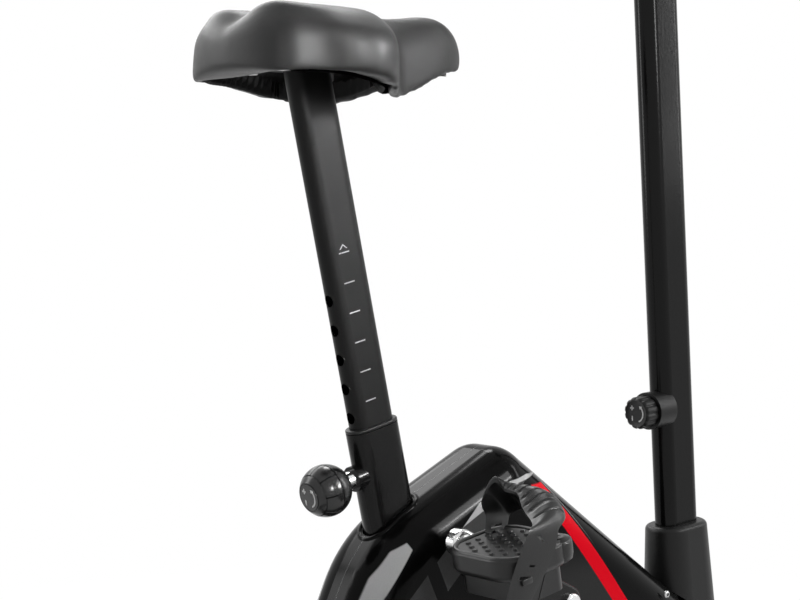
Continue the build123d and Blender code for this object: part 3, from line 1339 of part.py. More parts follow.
# Handlebar tube: straight runs joined by arcs of one bend radius
BAR_POINTS = [BAR_AT + Vector(x, -y, z) for x, y, z in reversed(BAR_REACH)]
BAR_POINTS += [BAR_AT + Vector(x, y, z) for x, y, z in BAR_REACH]
with BuildPart() as handlebar:
    with BuildLine() as bar_path:
        start = BAR_POINTS[0]
        for before, corner, after in zip(BAR_POINTS, BAR_POINTS[1:], BAR_POINTS[2:]):
            back = (before - corner).normalized()
            ahead = (after - corner).normalized()
            half_turn = radians(back.get_angle(ahead)) / 2
            reach = BAR_BEND / tan(half_turn)
            inward = (back + ahead).normalized()
            crown = corner + inward * (BAR_BEND / sin(half_turn) - BAR_BEND)
            Line(start, corner + back * reach)
            ThreePointArc(corner + back * reach, crown, corner + ahead * reach)
            start = corner + ahead * reach
        Line(start, BAR_POINTS[-1])
    with BuildSketch(Plane(origin=bar_path.line @ 0, z_dir=bar_path.line % 0)):
        Circle(BAR_RADIUS)
        Circle(BAR_RADIUS - BAR_WALL, mode=Mode.SUBTRACT)
    sweep(path=bar_path.line)
handlebar.part.label = "handlebar"
export_step(handlebar.part, "parts/handlebar.step")

# Foam grips with closed ends, and the pulse plates next to them
BAR_ENDS = (
    Plane(origin=BAR_POINTS[0], z_dir=BAR_POINTS[1] - BAR_POINTS[0]),
    Plane(origin=BAR_POINTS[-1], z_dir=BAR_POINTS[-2] - BAR_POINTS[-1]),
)
GRIP_END = GRIP_RADIUS - BAR_RADIUS
with BuildPart() as grips:
    for bar_end in BAR_ENDS:
        rod_on(bar_end, -GRIP_END, GRIP_LONG, GRIP_RADIUS)
    fillet(grips.edges(), GRIP_END / 2)
    for bar_end in BAR_ENDS:
        rod_on(bar_end, 0, GRIP_LONG, BAR_RADIUS, Mode.SUBTRACT)
grips.part.label = "grips"
export_step(grips.part, "parts/grips.step")

with BuildPart() as pulse_plates:
    for bar_end in BAR_ENDS:
        plate_low = GRIP_LONG + CLEAR
        rod_on(bar_end, plate_low, plate_low + SENSOR_LONG, SENSOR_RADIUS)
        rod_on(bar_end, plate_low, plate_low + SENSOR_LONG, BAR_RADIUS, Mode.SUBTRACT)
pulse_plates.part.label = "pulse_plates"
export_step(pulse_plates.part, "parts/pulse_plates.step")

# Console with its window and buttons, facing the rider
CONSOLE_PLANE = Plane(
    origin=MAST_PLANE.from_local_coords((CONSOLE_AHEAD, 0, MAST_TOP + CONSOLE_RISE)),
    x_dir=(0, -1, 0),
    z_dir=(-cos(radians(CONSOLE_TILT)), 0, sin(radians(CONSOLE_TILT))),
)
CONSOLE_AXIS = Axis(CONSOLE_PLANE.origin, CONSOLE_PLANE.z_dir)
BUTTON_SPOTS = (-BUTTON_PITCH, 0.0, BUTTON_PITCH)
BUTTON_LOW = BUTTON_PROUD - BUTTON_HIGH
with BuildPart() as console:
    with BuildSketch(CONSOLE_PLANE.offset(-CONSOLE_THICK)):
        RectangleRounded(CONSOLE_WIDE, CONSOLE_HIGH, CONSOLE_ROUND)
    extrude(amount=CONSOLE_THICK)
    fillet(console.faces().sort_by(CONSOLE_AXIS)[-1].edges(), CONSOLE_EDGE)
    fillet(console.faces().sort_by(CONSOLE_AXIS)[0].edges(), 2 * CONSOLE_EDGE)
    box_on(
        CONSOLE_PLANE,
        (-LENS_WIDE / 2, LENS_UP - LENS_HIGH / 2, -LENS_THICK),
        (LENS_WIDE / 2, LENS_UP + LENS_HIGH / 2, CLEAR),
        Mode.SUBTRACT,
    )
    for button_x in BUTTON_SPOTS:
        rod_on(
            CONSOLE_PLANE,
            BUTTON_LOW - BUTTON_THROW - CLEAR,
            CLEAR,
            BUTTON_RADIUS + SLIDE_FIT,
            Mode.SUBTRACT,
            x=button_x,
            y=-BUTTON_DOWN,
        )
    box_on(
        MAST_PLANE,
        (CLAMP_LONG / 2, -BRACKET_WIDE / 2, MAST_TOP),
        (CLAMP_LONG / 2 + BRACKET_THICK, BRACKET_WIDE / 2, MAST_TOP + BRACKET_TOP),
        Mode.SUBTRACT,
    )
console.part.label = "console"
export_step(console.part, "parts/console.step")

with BuildPart() as console_lens:
    box_on(
        CONSOLE_PLANE,
        (-LENS_WIDE / 2, LENS_UP - LENS_HIGH / 2, -LENS_THICK),
        (LENS_WIDE / 2, LENS_UP + LENS_HIGH / 2, 0),
    )
console_lens.part.label = "console_lens"
export_step(console_lens.part, "parts/console_lens.step")

with BuildPart() as left_button:
    rod_on(
        CONSOLE_PLANE, BUTTON_LOW, BUTTON_PROUD, BUTTON_RADIUS, x=BUTTON_SPOTS[0], y=-BUTTON_DOWN
    )
left_button.part.label = "left_button"
export_step(left_button.part, "parts/left_button.step")

with BuildPart() as middle_button:
    rod_on(
        CONSOLE_PLANE, BUTTON_LOW, BUTTON_PROUD, BUTTON_RADIUS, x=BUTTON_SPOTS[1], y=-BUTTON_DOWN
    )
middle_button.part.label = "middle_button"
export_step(middle_button.part, "parts/middle_button.step")

with BuildPart() as right_button:
    rod_on(
        CONSOLE_PLANE, BUTTON_LOW, BUTTON_PROUD, BUTTON_RADIUS, x=BUTTON_SPOTS[2], y=-BUTTON_DOWN
    )
right_button.part.label = "right_button"
export_step(right_button.part, "parts/right_button.step")

# Brake control on the rear of the mast
TENSION_PLANE = Plane(
    origin=MAST_PLANE.from_local_coords((-MAST_LONG / 2, 0, TENSION_RISE)),
    x_dir=(0, 1, 0),
    z_dir=-MAST_PLANE.x_dir,
)
with BuildPart() as tension_base:
    rod_on(TENSION_PLANE, -MAST_WIDE / 2, TENSION_BASE_HIGH, TENSION_BASE)
    with BuildSketch(MAST_PLANE):
        SlotOverall(MAST_LONG, MAST_WIDE)
    extrude(amount=MAST_TOP, mode=Mode.SUBTRACT)
    rod_on(TENSION_PLANE, 0, TENSION_BASE_HIGH + TENSION_KNOB_HIGH / 2, TENSION_PIN)
    with BuildSketch(MAST_PLANE):
        SlotOverall(MAST_LONG, MAST_WIDE)
    extrude(amount=MAST_TOP, mode=Mode.SUBTRACT)
tension_base.part.label = "tension_base"
export_step(tension_base.part, "parts/tension_base.step")

with BuildPart() as tension_knob:
    knob_low = TENSION_BASE_HIGH + CLEAR
    rod_on(TENSION_PLANE, knob_low, TENSION_BASE_HIGH + TENSION_KNOB_HIGH, TENSION_KNOB)
    fillet(tension_knob.faces().sort_by(Axis.X)[0].edges(), TENSION_PIN / 2)
    rod_on(
        TENSION_PLANE,
        knob_low,
        TENSION_BASE_HIGH + TENSION_KNOB_HIGH / 2 + CLEAR,
        TENSION_PIN + RUN_FIT,
        Mode.SUBTRACT,
    )
tension_knob.part.label = "tension_knob"
export_step(tension_knob.part, "parts/tension_knob.step")
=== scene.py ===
# %% [markdown]
# # Upright exercise bike
# The solid bike comes packed as a fixed frame: every tube, bearing and lever is already in its
# place, in metres, with +X forward, +Y to the rider's left and +Z up. This lesson dresses it.
# Rigid pieces keep their solids and get a finish. Soft pieces, and pieces whose skin carries
# detail, are modelled again here and stand for their solids.

# %% Load the frame
import json
import random
from math import asin, atan2, copysign, cos, degrees, hypot, pi, radians, sin, sqrt, tan

import bmesh
import bpy
from mathutils import Matrix, Vector

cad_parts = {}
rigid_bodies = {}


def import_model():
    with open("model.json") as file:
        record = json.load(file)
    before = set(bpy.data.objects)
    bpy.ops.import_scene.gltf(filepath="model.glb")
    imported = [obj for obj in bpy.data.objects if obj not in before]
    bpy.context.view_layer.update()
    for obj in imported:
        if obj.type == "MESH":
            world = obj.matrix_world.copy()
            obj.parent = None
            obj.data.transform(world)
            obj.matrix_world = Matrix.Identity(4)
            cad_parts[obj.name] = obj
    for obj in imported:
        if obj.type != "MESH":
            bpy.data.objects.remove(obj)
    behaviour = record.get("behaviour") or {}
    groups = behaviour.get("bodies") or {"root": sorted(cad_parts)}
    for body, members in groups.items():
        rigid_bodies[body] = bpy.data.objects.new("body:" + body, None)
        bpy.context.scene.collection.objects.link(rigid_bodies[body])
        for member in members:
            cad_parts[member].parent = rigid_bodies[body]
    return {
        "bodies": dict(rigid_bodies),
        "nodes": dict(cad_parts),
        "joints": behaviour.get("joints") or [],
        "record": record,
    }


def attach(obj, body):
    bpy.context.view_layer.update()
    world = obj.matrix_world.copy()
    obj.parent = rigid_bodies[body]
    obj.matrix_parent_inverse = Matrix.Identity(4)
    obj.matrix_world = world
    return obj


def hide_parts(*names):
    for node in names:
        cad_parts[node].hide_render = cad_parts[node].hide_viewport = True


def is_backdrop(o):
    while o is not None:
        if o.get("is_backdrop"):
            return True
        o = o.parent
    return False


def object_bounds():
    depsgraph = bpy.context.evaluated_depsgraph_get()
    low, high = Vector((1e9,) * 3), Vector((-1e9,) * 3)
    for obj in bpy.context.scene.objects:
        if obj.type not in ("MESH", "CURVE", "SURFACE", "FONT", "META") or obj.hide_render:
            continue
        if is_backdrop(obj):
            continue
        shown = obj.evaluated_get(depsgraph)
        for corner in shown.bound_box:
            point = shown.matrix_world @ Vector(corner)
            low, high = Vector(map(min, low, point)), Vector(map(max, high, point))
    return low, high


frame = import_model()
nodes = frame["nodes"]
joints = {joint["name"]: joint for joint in frame["joints"]}
solid_box = [list(corner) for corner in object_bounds()]
MM = 0.001
print(f"{len(nodes)} solids on {len(frame['bodies'])} bodies")

# %% [markdown]
# ## Writing shader maths as Python
# Node trees are quick to draw by hand and slow to read back. Here one small class wraps a socket
# so that `1 - mask` adds a Math node, and one method adds any other node. A finish then reads
# like a formula. Only colour, roughness, metalness and bump vary over a surface; every value
# that is the same all over is set on the shader itself.


# %% A socket that does arithmetic, and a finish
class Wire:
    """One value in a finish; arithmetic on it adds Math nodes."""

    def __init__(self, finish, socket):
        self.finish = finish
        self.socket = socket

    def math(self, operation, first, second=0.0):
        return self.finish.node("Math", {"operation": operation}, {0: first, 1: second})

    def __add__(self, other):
        return self.math("ADD", self, other)

    def __radd__(self, other):
        return self.math("ADD", other, self)

    def __sub__(self, other):
        return self.math("SUBTRACT", self, other)

    def __rsub__(self, other):
        return self.math("SUBTRACT", other, self)

    def __mul__(self, other):
        return self.math("MULTIPLY", self, other)

    def __rmul__(self, other):
        return self.math("MULTIPLY", other, self)

    def __truediv__(self, other):
        return self.math("DIVIDE", self, other)

    def __abs__(self):
        return self.math("ABSOLUTE", self)

    def __round__(self):
        return self.math("ROUND", self)

    def __gt__(self, other):
        return self.math("GREATER_THAN", self, other)

    def __lt__(self, other):
        return self.math("LESS_THAN", self, other)

    def either(self, other):
        return self.math("MAXIMUM", self, other)

    def rise(self, low, high):
        """A smooth step from 0 at low to 1 at high."""
        return self.finish.node(
            "MapRange",
            {"interpolation_type": "SMOOTHSTEP"},
            {0: self, 1: low, 2: high, 3: 0.0, 4: 1.0},
        )


class Finish:
    """A material: its shader, and the nodes that vary it over the surface."""

    def __init__(self, name, constants):
        self.material = bpy.data.materials.new(name)
        self.material.use_nodes = True
        self.tree = self.material.node_tree
        self.shader = self.tree.nodes["Principled BSDF"]
        for socket, value in constants.items():
            self.shader.inputs[socket].default_value = value

    def node(self, kind, settings=None, inputs=None, output=0):
        """Adds one node: its settings first, then the values or wires of its sockets."""
        made = self.tree.nodes.new("ShaderNode" + kind)
        for name, value in (settings or {}).items():
            setattr(made, name, value)
        for key, value in (inputs or {}).items():
            self.feed(made.inputs[key], value)
        return Wire(self, made.outputs[output])

    def feed(self, socket, value):
        if isinstance(value, Wire):
            self.tree.links.new(value.socket, socket)
        else:
            socket.default_value = value

    def spot(self):
        """The point on the piece, in the bike's own frame."""
        return self.node("TexCoord", output="Object")

    def axes(self):
        """The point's three coordinates."""
        split = self.node("SeparateXYZ", inputs={0: self.spot()})
        return [Wire(self, socket) for socket in split.socket.node.outputs]

    def noise(self, scale, detail=2.0):
        return self.node(
            "TexNoise", inputs={"Vector": self.spot(), "Scale": scale, "Detail": detail}
        )

    def cells(self, scale, feature="F1"):
        return self.node(
            "TexVoronoi", {"feature": feature}, {"Vector": self.spot(), "Scale": scale}
        )

    def mix(self, share, first, second):
        return self.node("Mix", {"data_type": "RGBA"}, {0: share, 6: first, 7: second}, output=2)

    def wear(self, color=None, roughness=None, metallic=None, relief=None, depth=0.0001):
        """Links what varies to the shader; relief is a height, depth its size in metres."""
        if color is not None:
            self.feed(self.shader.inputs["Base Color"], color)
        if roughness is not None:
            self.feed(self.shader.inputs["Roughness"], roughness)
        if metallic is not None:
            self.feed(self.shader.inputs["Metallic"], metallic)
        if relief is not None:
            bump = self.node("Bump", inputs={"Distance": depth, "Height": relief, "Strength": 1.0})
            self.feed(self.shader.inputs["Normal"], bump)
        return self.material


def grey(value, alpha=1.0):
    return (value, value, value, alpha)


finishes = {}

# %% [markdown]
# ## Painted metal
# The frame tubes wear a gloss black powder coat. Up close such a coat isn't mirror smooth: it
# has the faint swell called orange peel. One function makes such a coat from its shade, its gloss
# and the size of the swell.


# %% Powder coats
def painted(name, shade, gloss, peel_scale, peel_depth, shine=0.4):
    """Black powder coat with slow changes of gloss and the swell of the coat."""
    finish = Finish(name, {"Specular IOR Level": shine})
    cloud = finish.noise(9.0, 3.0)
    color = finish.mix(cloud, grey(shade * 0.8), grey(shade * 1.25))
    roughness = gloss + (cloud - 0.5) * 0.1
    return finish.wear(color, roughness, relief=finish.noise(peel_scale), depth=peel_depth)


finishes["frame_paint"] = painted("frame_paint", 0.004, 0.16, 260.0, 0.00006, 0.14)
print("frame coat made")

# %% [markdown]
# The cranks are coated too, but the eye that takes the pedal is faced after coating, so a ring of
# bare metal shows round each pedal's spindle.


# %% Crank coat with bare eyes
EYE_BARE = 17 * MM


def crank_finish():
    finish = Finish("crank_paint", {"Specular IOR Level": 0.2})
    x, y, z = finish.axes()
    bare = 0.0
    for side in ("right", "left"):
        eye = joints[f"{side}_pedal_spin"]["pos_m"]
        off_x = x - eye[0]
        off_z = z - eye[2]
        reach = finish.node("Math", {"operation": "SQRT"}, {0: off_x * off_x + off_z * off_z})
        bare = reach.rise(EYE_BARE + 0.4 * MM, EYE_BARE - 0.4 * MM) + bare
    cloud = finish.noise(9.0, 3.0)
    lathe = finish.noise(800.0, 2.0)
    coat = finish.mix(cloud, grey(0.005), grey(0.008))
    color = finish.mix(bare, coat, finish.mix(lathe, grey(0.6), grey(0.75)))
    roughness = 0.28 + (cloud - 0.5) * 0.1 - bare * 0.08
    return finish.wear(color, roughness, metallic=bare, relief=finish.noise(320.0), depth=0.00005)


finishes["crank_paint"] = crank_finish()
print("crank coat made")

# %% [markdown]
# ## Seat post with its printed marks
# Seven short silver lines are printed on the post's right face, one for each hole, with a small
# arrow head over the top one. They are flat ink, so they belong in the finish and not in the
# mesh. The post leans, so the finish first turns the point into heights along the post and
# places across its face.

# %% The leaning frame of the seat
seat_along = Vector(joints["seat_height"]["axis"]).normalized()
pin_back = Vector(joints["pin_pull"]["axis"]).normalized()
TUBE_BACK = 30 * MM
PIN_DROP = 44 * MM
boss_face = Vector(joints["knob_turn"]["pos_m"])
post_middle = boss_face - pin_back * TUBE_BACK
tube_top = post_middle + seat_along * PIN_DROP
print("top of the seat tube at", [round(v, 4) for v in tube_top])

# %% [markdown]
# Heights are counted in hole pitches, so one rounding gives all the lines at once. The ink is
# a little worn, as print on a sliding post is.

# %% Post finish
POST_SIDE = 12.5 * MM
HOLE_PITCH = 30 * MM
HOLES = 7
MARK_LIFT = 0.7 * MM
MARK_BACK = 4.5 * MM
MARK_HALF = 6.5 * MM
MARK_THICK = 0.6 * MM
HEAD_LOW = 3.5 * MM
HEAD_TALL = 5 * MM
HEAD_STROKE = 1.6 * MM
FACE_BITE = 0.4 * MM


def post_finish():
    finish = Finish("post_paint", {"Specular IOR Level": 0.11})
    x, y, z = finish.axes()
    x = x - tube_top.x
    z = z - tube_top.z
    height = x * seat_along.x + z * seat_along.z
    fore = x * seat_along.z - z * seat_along.x + MARK_BACK
    count = (height - MARK_LIFT) / HOLE_PITCH
    near = abs(count - round(count)) * HOLE_PITCH
    line = (near < MARK_THICK) * (abs(fore) < MARK_HALF)
    line = line * (count > -0.5) * (count < HOLES - 0.5)
    tip = MARK_LIFT + (HOLES - 1) * HOLE_PITCH + HEAD_LOW + HEAD_TALL
    reach = tip - height
    head = (abs(fore) < reach) * (abs(fore) > reach - HEAD_STROKE) * (reach < HEAD_TALL)
    face = y < FACE_BITE - POST_SIDE
    worn = finish.noise(900.0, 3.0).rise(0.3, 0.5)
    ink = line.either(head) * face * (worn * 0.6 + 0.4)
    cloud = finish.noise(7.0, 3.0)
    coat = finish.mix(cloud, grey(0.0035), grey(0.006))
    color = finish.mix(ink, coat, grey(0.34))
    grain = finish.noise(1500.0, 1.0)
    roughness = 0.36 + (cloud - 0.5) * 0.1 - ink * 0.1
    return finish.wear(color, roughness, relief=grain, depth=0.00012)


finishes["post_paint"] = post_finish()
print(f"post coat with {HOLES} marks made")

# %% [markdown]
# ## Shroud decoration
# The shroud is polished black plastic. Its sides carry printed bands: a graphite field between
# two slanting edges with black bars across it, a white wedge along its upper edge and a red band
# towards the front. Two light marks are painted light, not print: a painted reflection shaped
# like a silver leaf at the rear, and a painted highlight, a thin line beside the red band's front
# edge. Each edge is a straight line or an arc in the side view, so a mask is a product of steps.
# The same print and painted light are on both sides.

# %% Masks made of straight edges
def beside(x, z, start, end, soft=0.5 * MM):
    """1 on the left of the way from start to end, 0 on the right, seen with +X to the right."""
    run_x, run_z = end[0] - start[0], end[1] - start[1]
    length = hypot(run_x, run_z)
    offset = (z - start[1]) * (run_x / length) - (x - start[0]) * (run_z / length)
    return offset.rise(-soft, soft)


def inside(x, z, corners, soft=0.5 * MM):
    """1 within a convex outline whose corners go round anticlockwise."""
    mask = 1.0
    for start, end in zip(corners, corners[1:] + corners[:1]):
        mask = mask * beside(x, z, start, end, soft)
    return mask


def in_metres(points):
    return [(px * MM, pz * MM) for px, pz in points]


WEDGE_TOP = in_metres([(15.7, 419.3), (-5.7, 421), (-35, 416.6), (-78, 398.5), (-102, 377)])
WEDGE_FOOT = in_metres([(-102, 377), (-71, 391.5), (-25, 413.6), (15.7, 419.3)])
FIELD = in_metres([(-262, 234), (-240, 209.5), (-79.5, 353.5), (-20, 408), (-102, 377.6)])
BARS = [
    in_metres([(-151.9, 337), (-120, 270), (-108, 282), (-139.4, 348)]),
    in_metres([(-216, 279), (-184, 212), (-172, 224), (-203.5, 290)]),
]
# Outline of the painted reflection: a leaf-shaped soft-box reflection, painted silver.
LEAF_REFLECTION = in_metres([(-243, 268), (-166.5, 360.7), (-169.7, 367.2), (-186.4, 359.7), (-209.3, 335.9),
                  (-220.7, 315.7)])
RED_FROM, RED_TO = in_metres([(20.4, 409.8), (142.2, 271.8)])
RED_BOW = 2.2 * MM
RED_WIDTH = 17 * MM
RED_TOP = 409 * MM
SIDE_WIDTH = 40 * MM
PRINT_SOFT = 0.4 * MM
# Painted highlight: a thin light line 2.2 to 3.8 mm outside the red band's front edge, fading in
# between 330 and 380 mm up.
HIGHLIGHT_FROM, HIGHLIGHT_TO = 2.2 * MM, 3.8 * MM
HIGHLIGHT_FADE = (330 * MM, 380 * MM)
SHADE_FADE = (352 * MM, 296 * MM)
FLAT_FADE = (24 * MM, 30 * MM)
LEAF_REFLECTION_FADE = (18 * MM, 22 * MM)
SEAM_FADE = (0.9 * MM, 0.5 * MM)


def arc_centre(start, end, bow):
    """Centre and radius of the flat arc from start down to end that bows up and forward."""
    run_x, run_z = end[0] - start[0], end[1] - start[1]
    chord = hypot(run_x, run_z)
    radius = chord**2 / (8 * bow) + bow / 2
    back = radius - bow
    return (
        (start[0] + end[0]) / 2 + run_z / chord * back,
        (start[1] + end[1]) / 2 - run_x / chord * back,
        radius,
    )


def shroud_finish():
    finish = Finish("shroud_plastic", {"Specular IOR Level": 0.06})
    x, y, z = finish.axes()
    side = abs(y)
    flat = side.rise(*FLAT_FADE)
    wedge = flat
    for start, end in zip(WEDGE_TOP, WEDGE_TOP[1:]):
        wedge = wedge * beside(x, z, start, end)
    under = beside(x, z, WEDGE_FOOT[0], WEDGE_FOOT[1])
    for start, end in zip(WEDGE_FOOT[1:], WEDGE_FOOT[2:]):
        under = under.either(beside(x, z, start, end))
    wedge = wedge * under
    field = flat
    for start, end in zip(FIELD[:3], FIELD[1:4]):
        field = field * beside(x, z, start, end)
    field = field * beside(x, z, FIELD[4], FIELD[0]) * (1 - under)
    for bar in BARS:
        field = field * (1 - inside(x, z, bar))
    # Painted reflection: the silver leaf on the rear of each side.
    leaf_reflection = inside(x, z, LEAF_REFLECTION, 2 * PRINT_SOFT) * side.rise(*LEAF_REFLECTION_FADE)
    centre_x, centre_z, bend = arc_centre(RED_FROM, RED_TO, RED_BOW)
    reach_x = x - centre_x
    reach_z = z - centre_z
    square = reach_x * reach_x + reach_z * reach_z
    out = finish.node("Math", {"operation": "SQRT"}, {0: square}) - bend
    inner, back = -RED_WIDTH, -RED_WIDTH - SIDE_WIDTH
    low = z.rise(RED_TOP + 1 * MM, RED_TOP - 1 * MM) * flat
    red = out.rise(PRINT_SOFT, -PRINT_SOFT) * out.rise(inner - PRINT_SOFT, inner + PRINT_SOFT) * low
    # Painted highlight: the thin light line just beyond the red band's front edge, fainter lower
    # down.
    edge = out.rise(HIGHLIGHT_FROM, HIGHLIGHT_FROM + PRINT_SOFT) * out.rise(HIGHLIGHT_TO, HIGHLIGHT_TO - PRINT_SOFT)
    edge = edge * low * z.rise(*HIGHLIGHT_FADE)
    shade = out.rise(inner + PRINT_SOFT, inner - PRINT_SOFT)
    shade = shade * out.rise(back - PRINT_SOFT, back + PRINT_SOFT)
    shade = shade * z.rise(*SHADE_FADE) * flat
    seam = side.rise(*SEAM_FADE)
    cloud = finish.noise(5.0, 3.0)
    fleck = finish.noise(1800.0, 1.0)
    color = finish.mix(cloud, grey(0.0018), grey(0.003))
    color = finish.mix(seam, color, grey(0.08))
    graphite = finish.mix(fleck, grey(0.045), grey(0.075))
    silver_ink_and_painted_light = finish.mix(fleck, grey(0.4), grey(0.58))
    color = finish.mix(field.either(shade * 0.45), color, graphite)
    color = finish.mix(red, color, (0.83, 0.0, 0.012, 1.0))
    # Silver colour: printed ink on the wedge, a painted reflection on the leaf, and a painted
    # highlight at half strength on the edge line.
    color = finish.mix(wedge.either(leaf_reflection).either(edge * 0.5), color, silver_ink_and_painted_light)
    print_gloss = field.either(shade).either(red) * 0.12 + leaf_reflection * 0.14
    roughness = 0.14 + (cloud - 0.5) * 0.05 + print_gloss
    return finish.wear(color, roughness, relief=finish.noise(45.0), depth=0.00005)


finishes["shroud_plastic"] = shroud_finish()
print("shroud print made")

# %% [markdown]
# ## Moulded plastic, rubber and foam
# Injection moulds are spark-eroded, which leaves a fine even grain. One function makes each such
# finish from its shade, gloss and grain size. Foam shows open cells instead, and vinyl shows
# a leather grain, so both take their bump from cells.


# %% Moulded finishes
def moulded(name, shade, gloss, grain, depth, shine):
    finish = Finish(name, {"Specular IOR Level": shine})
    cloud = finish.noise(14.0, 4.0)
    color = finish.mix(cloud, grey(shade * 0.75), grey(shade * 1.3))
    roughness = gloss + (cloud - 0.5) * 0.14
    return finish.wear(color, roughness, relief=finish.noise(grain, 1.0), depth=depth)


def foam(name, shade):
    finish = Finish(name, {"Specular IOR Level": 0.2})
    pores = finish.cells(900.0)
    color = finish.mix(pores, grey(shade * 0.5), grey(shade * 1.4))
    return finish.wear(color, 0.85 + pores * 0.1, relief=pores, depth=0.0004)


def vinyl(name, shade):
    finish = Finish(name, {"Specular IOR Level": 0.3})
    grain = finish.cells(1100.0, "DISTANCE_TO_EDGE").rise(0.0, 0.12)
    cloud = finish.noise(11.0, 3.0)
    color = finish.mix(cloud, grey(shade * 0.8), grey(shade * 1.25))
    roughness = 0.38 + (cloud - 0.5) * 0.06 + (1 - grain) * 0.1
    return finish.wear(color, roughness, relief=grain, depth=0.00007)


SHINE = 0.4
# Shade, gloss, grain size, depth of the grain and shine
MOULDED = {
    "moulded_plastic": (0.008, 0.4, 1200.0, 0.00012, 0.22),
    "knob_plastic": (0.006, 0.22, 700.0, 0.00003, 0.4),
    "pedal_plastic": (0.012, 0.33, 1000.0, 0.0001, 0.32),
    "pulley_plastic": (0.05, 0.5, 900.0, 0.0001, SHINE),
    "button_plastic": (0.35, 0.45, 1500.0, 0.00006, SHINE),
    "board_plastic": (0.14, 0.6, 600.0, 0.0002, SHINE),
    "strap_rubber": (0.009, 0.33, 800.0, 0.0001, 0.34),
    "belt_rubber": (0.015, 0.7, 700.0, 0.0002, SHINE),
    "wheel_rubber": (0.02, 0.6, 600.0, 0.00015, 0.25),
    "hem_cloth": (0.006, 0.6, 2200.0, 0.0001, 0.25),
    "white_ink": (0.62, 0.5, 1500.0, 0.00002, SHINE),
    "screen_grey": (0.2, 0.3, 1500.0, 0.00001, SHINE),
    "screen_ink": (0.01, 0.5, 1500.0, 0.00001, SHINE),
}
for name, look in MOULDED.items():
    finishes[name] = moulded(name, *look)
finishes["grip_foam"] = foam("grip_foam", 0.018)
finishes["saddle_vinyl"] = vinyl("saddle_vinyl", 0.003)
print(f"{len(finishes)} finishes so far")

# %% [markdown]
# ## Bare metal
# Chrome is almost a mirror, dulled by a film of handling. Zinc plate is greyer and shows the
# spangle of its crystals. The flywheel is grey iron, turned on its rim.


# %% Metals
def metal(name, shade, gloss, spangle, depth):
    finish = Finish(name, {"Metallic": 1.0})
    film = finish.noise(40.0, 4.0)
    crystal = finish.cells(spangle)
    color = finish.mix(crystal, grey(shade * 0.85), grey(shade * 1.1))
    return finish.wear(color, gloss + film * 0.12, relief=crystal, depth=depth)


finishes["chrome"] = metal("chrome", 0.72, 0.04, 30.0, 0.00001)
finishes["steel"] = metal("steel", 0.45, 0.24, 420.0, 0.00003)
finishes["iron"] = metal("iron", 0.2, 0.38, 700.0, 0.0001)
print("metals made")

# %% [markdown]
# ## Dressing the solids
# Every solid names a material slot in the record, and each slot has a finish of the same name.
# The solids keep their meshes; only what fills their slot changes.

# %% Put the finishes on the solids
slot_of = {entry["node"]: entry["material_slot"] for entry in frame["record"]["subparts"]}
finishes["window"] = finishes["moulded_plastic"]
for name, solid in nodes.items():
    solid.data.materials.clear()
    solid.data.materials.append(finishes[slot_of[name]])
nodes["saddle_pan"].data.materials[0] = finishes["board_plastic"]
print(f"{len(nodes)} solids dressed")

# %% [markdown]
# ## From a mesh in progress to a piece
# Each new piece is shaped as a bmesh in the bike's frame, then handed to one function that makes
# it an object, shades it smooth except at its sharp edges, and lets it ride on a body.


# %% Piece helpers
def settle(shape, name, body, finish, sharp=40.0):
    bmesh.ops.recalc_face_normals(shape, faces=shape.faces)
    mesh = bpy.data.meshes.new(name)
    shape.to_mesh(mesh)
    shape.free()
    mesh.polygons.foreach_set("use_smooth", [True] * len(mesh.polygons))
    mesh.set_sharp_from_angle(angle=radians(sharp))
    mesh.materials.append(finishes[finish])
    piece = bpy.data.objects.new(name, mesh)
    bpy.context.collection.objects.link(piece)
    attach(piece, body)
    print(f"{name}: {len(mesh.polygons)} faces on {body}")
    return piece


def frame_at(origin, along, across=Vector((0, 1, 0))):
    """Place whose local z runs along an axis and whose local y runs across the bike."""
    along = Vector(along).normalized()
    fore = across.cross(along).normalized()
    turn = Matrix((fore, along.cross(fore), along)).transposed().to_4x4()
    return Matrix.Translation(origin) @ turn


def turned(shape, profile, steps, place):
    """Spins a profile of radius and height about the z axis of a place."""
    kept = set(shape.verts)
    dots = [shape.verts.new((radius, 0, height)) for radius, height in profile]
    edges = [shape.edges.new(pair) for pair in zip(dots, dots[1:])]
    bmesh.ops.spin(
        shape, geom=dots + edges, cent=(0, 0, 0), axis=(0, 0, 1), angle=2 * pi,
        steps=steps, use_merge=True, use_duplicate=False,
    )
    fresh = [vert for vert in shape.verts if vert not in kept]
    bmesh.ops.remove_doubles(shape, verts=fresh, dist=1e-6)
    fresh = [vert for vert in shape.verts if vert not in kept]
    bmesh.ops.transform(shape, matrix=place, verts=fresh)
    return fresh


def skinned(shape, rings, around=False):
    """Faces between rings of equally many points; around joins the last ring to the first."""
    loops = [[shape.verts.new(point) for point in ring] for ring in rings]
    for one, two in zip(loops, loops[1:] + loops[:1] if around else loops[1:]):
        for k in range(len(one)):
            nxt = (k + 1) % len(one)
            shape.faces.new((one[k], one[nxt], two[nxt], two[k]))
    return loops


def block(shape, centre, size, edge, place):
    """A box with rounded edges."""
    made = bmesh.ops.create_cube(shape, size=1.0)["verts"]
    bmesh.ops.scale(shape, vec=size, verts=made)
    bmesh.ops.translate(shape, vec=centre, verts=made)
    bmesh.ops.transform(shape, matrix=place, verts=made)
    edges = list({item for vert in made for item in vert.link_edges})
    bmesh.ops.bevel(
        shape, geom=edges, offset=edge, offset_type="OFFSET", affect="EDGES", segments=2,
        profile=0.5, material=-1,
    )


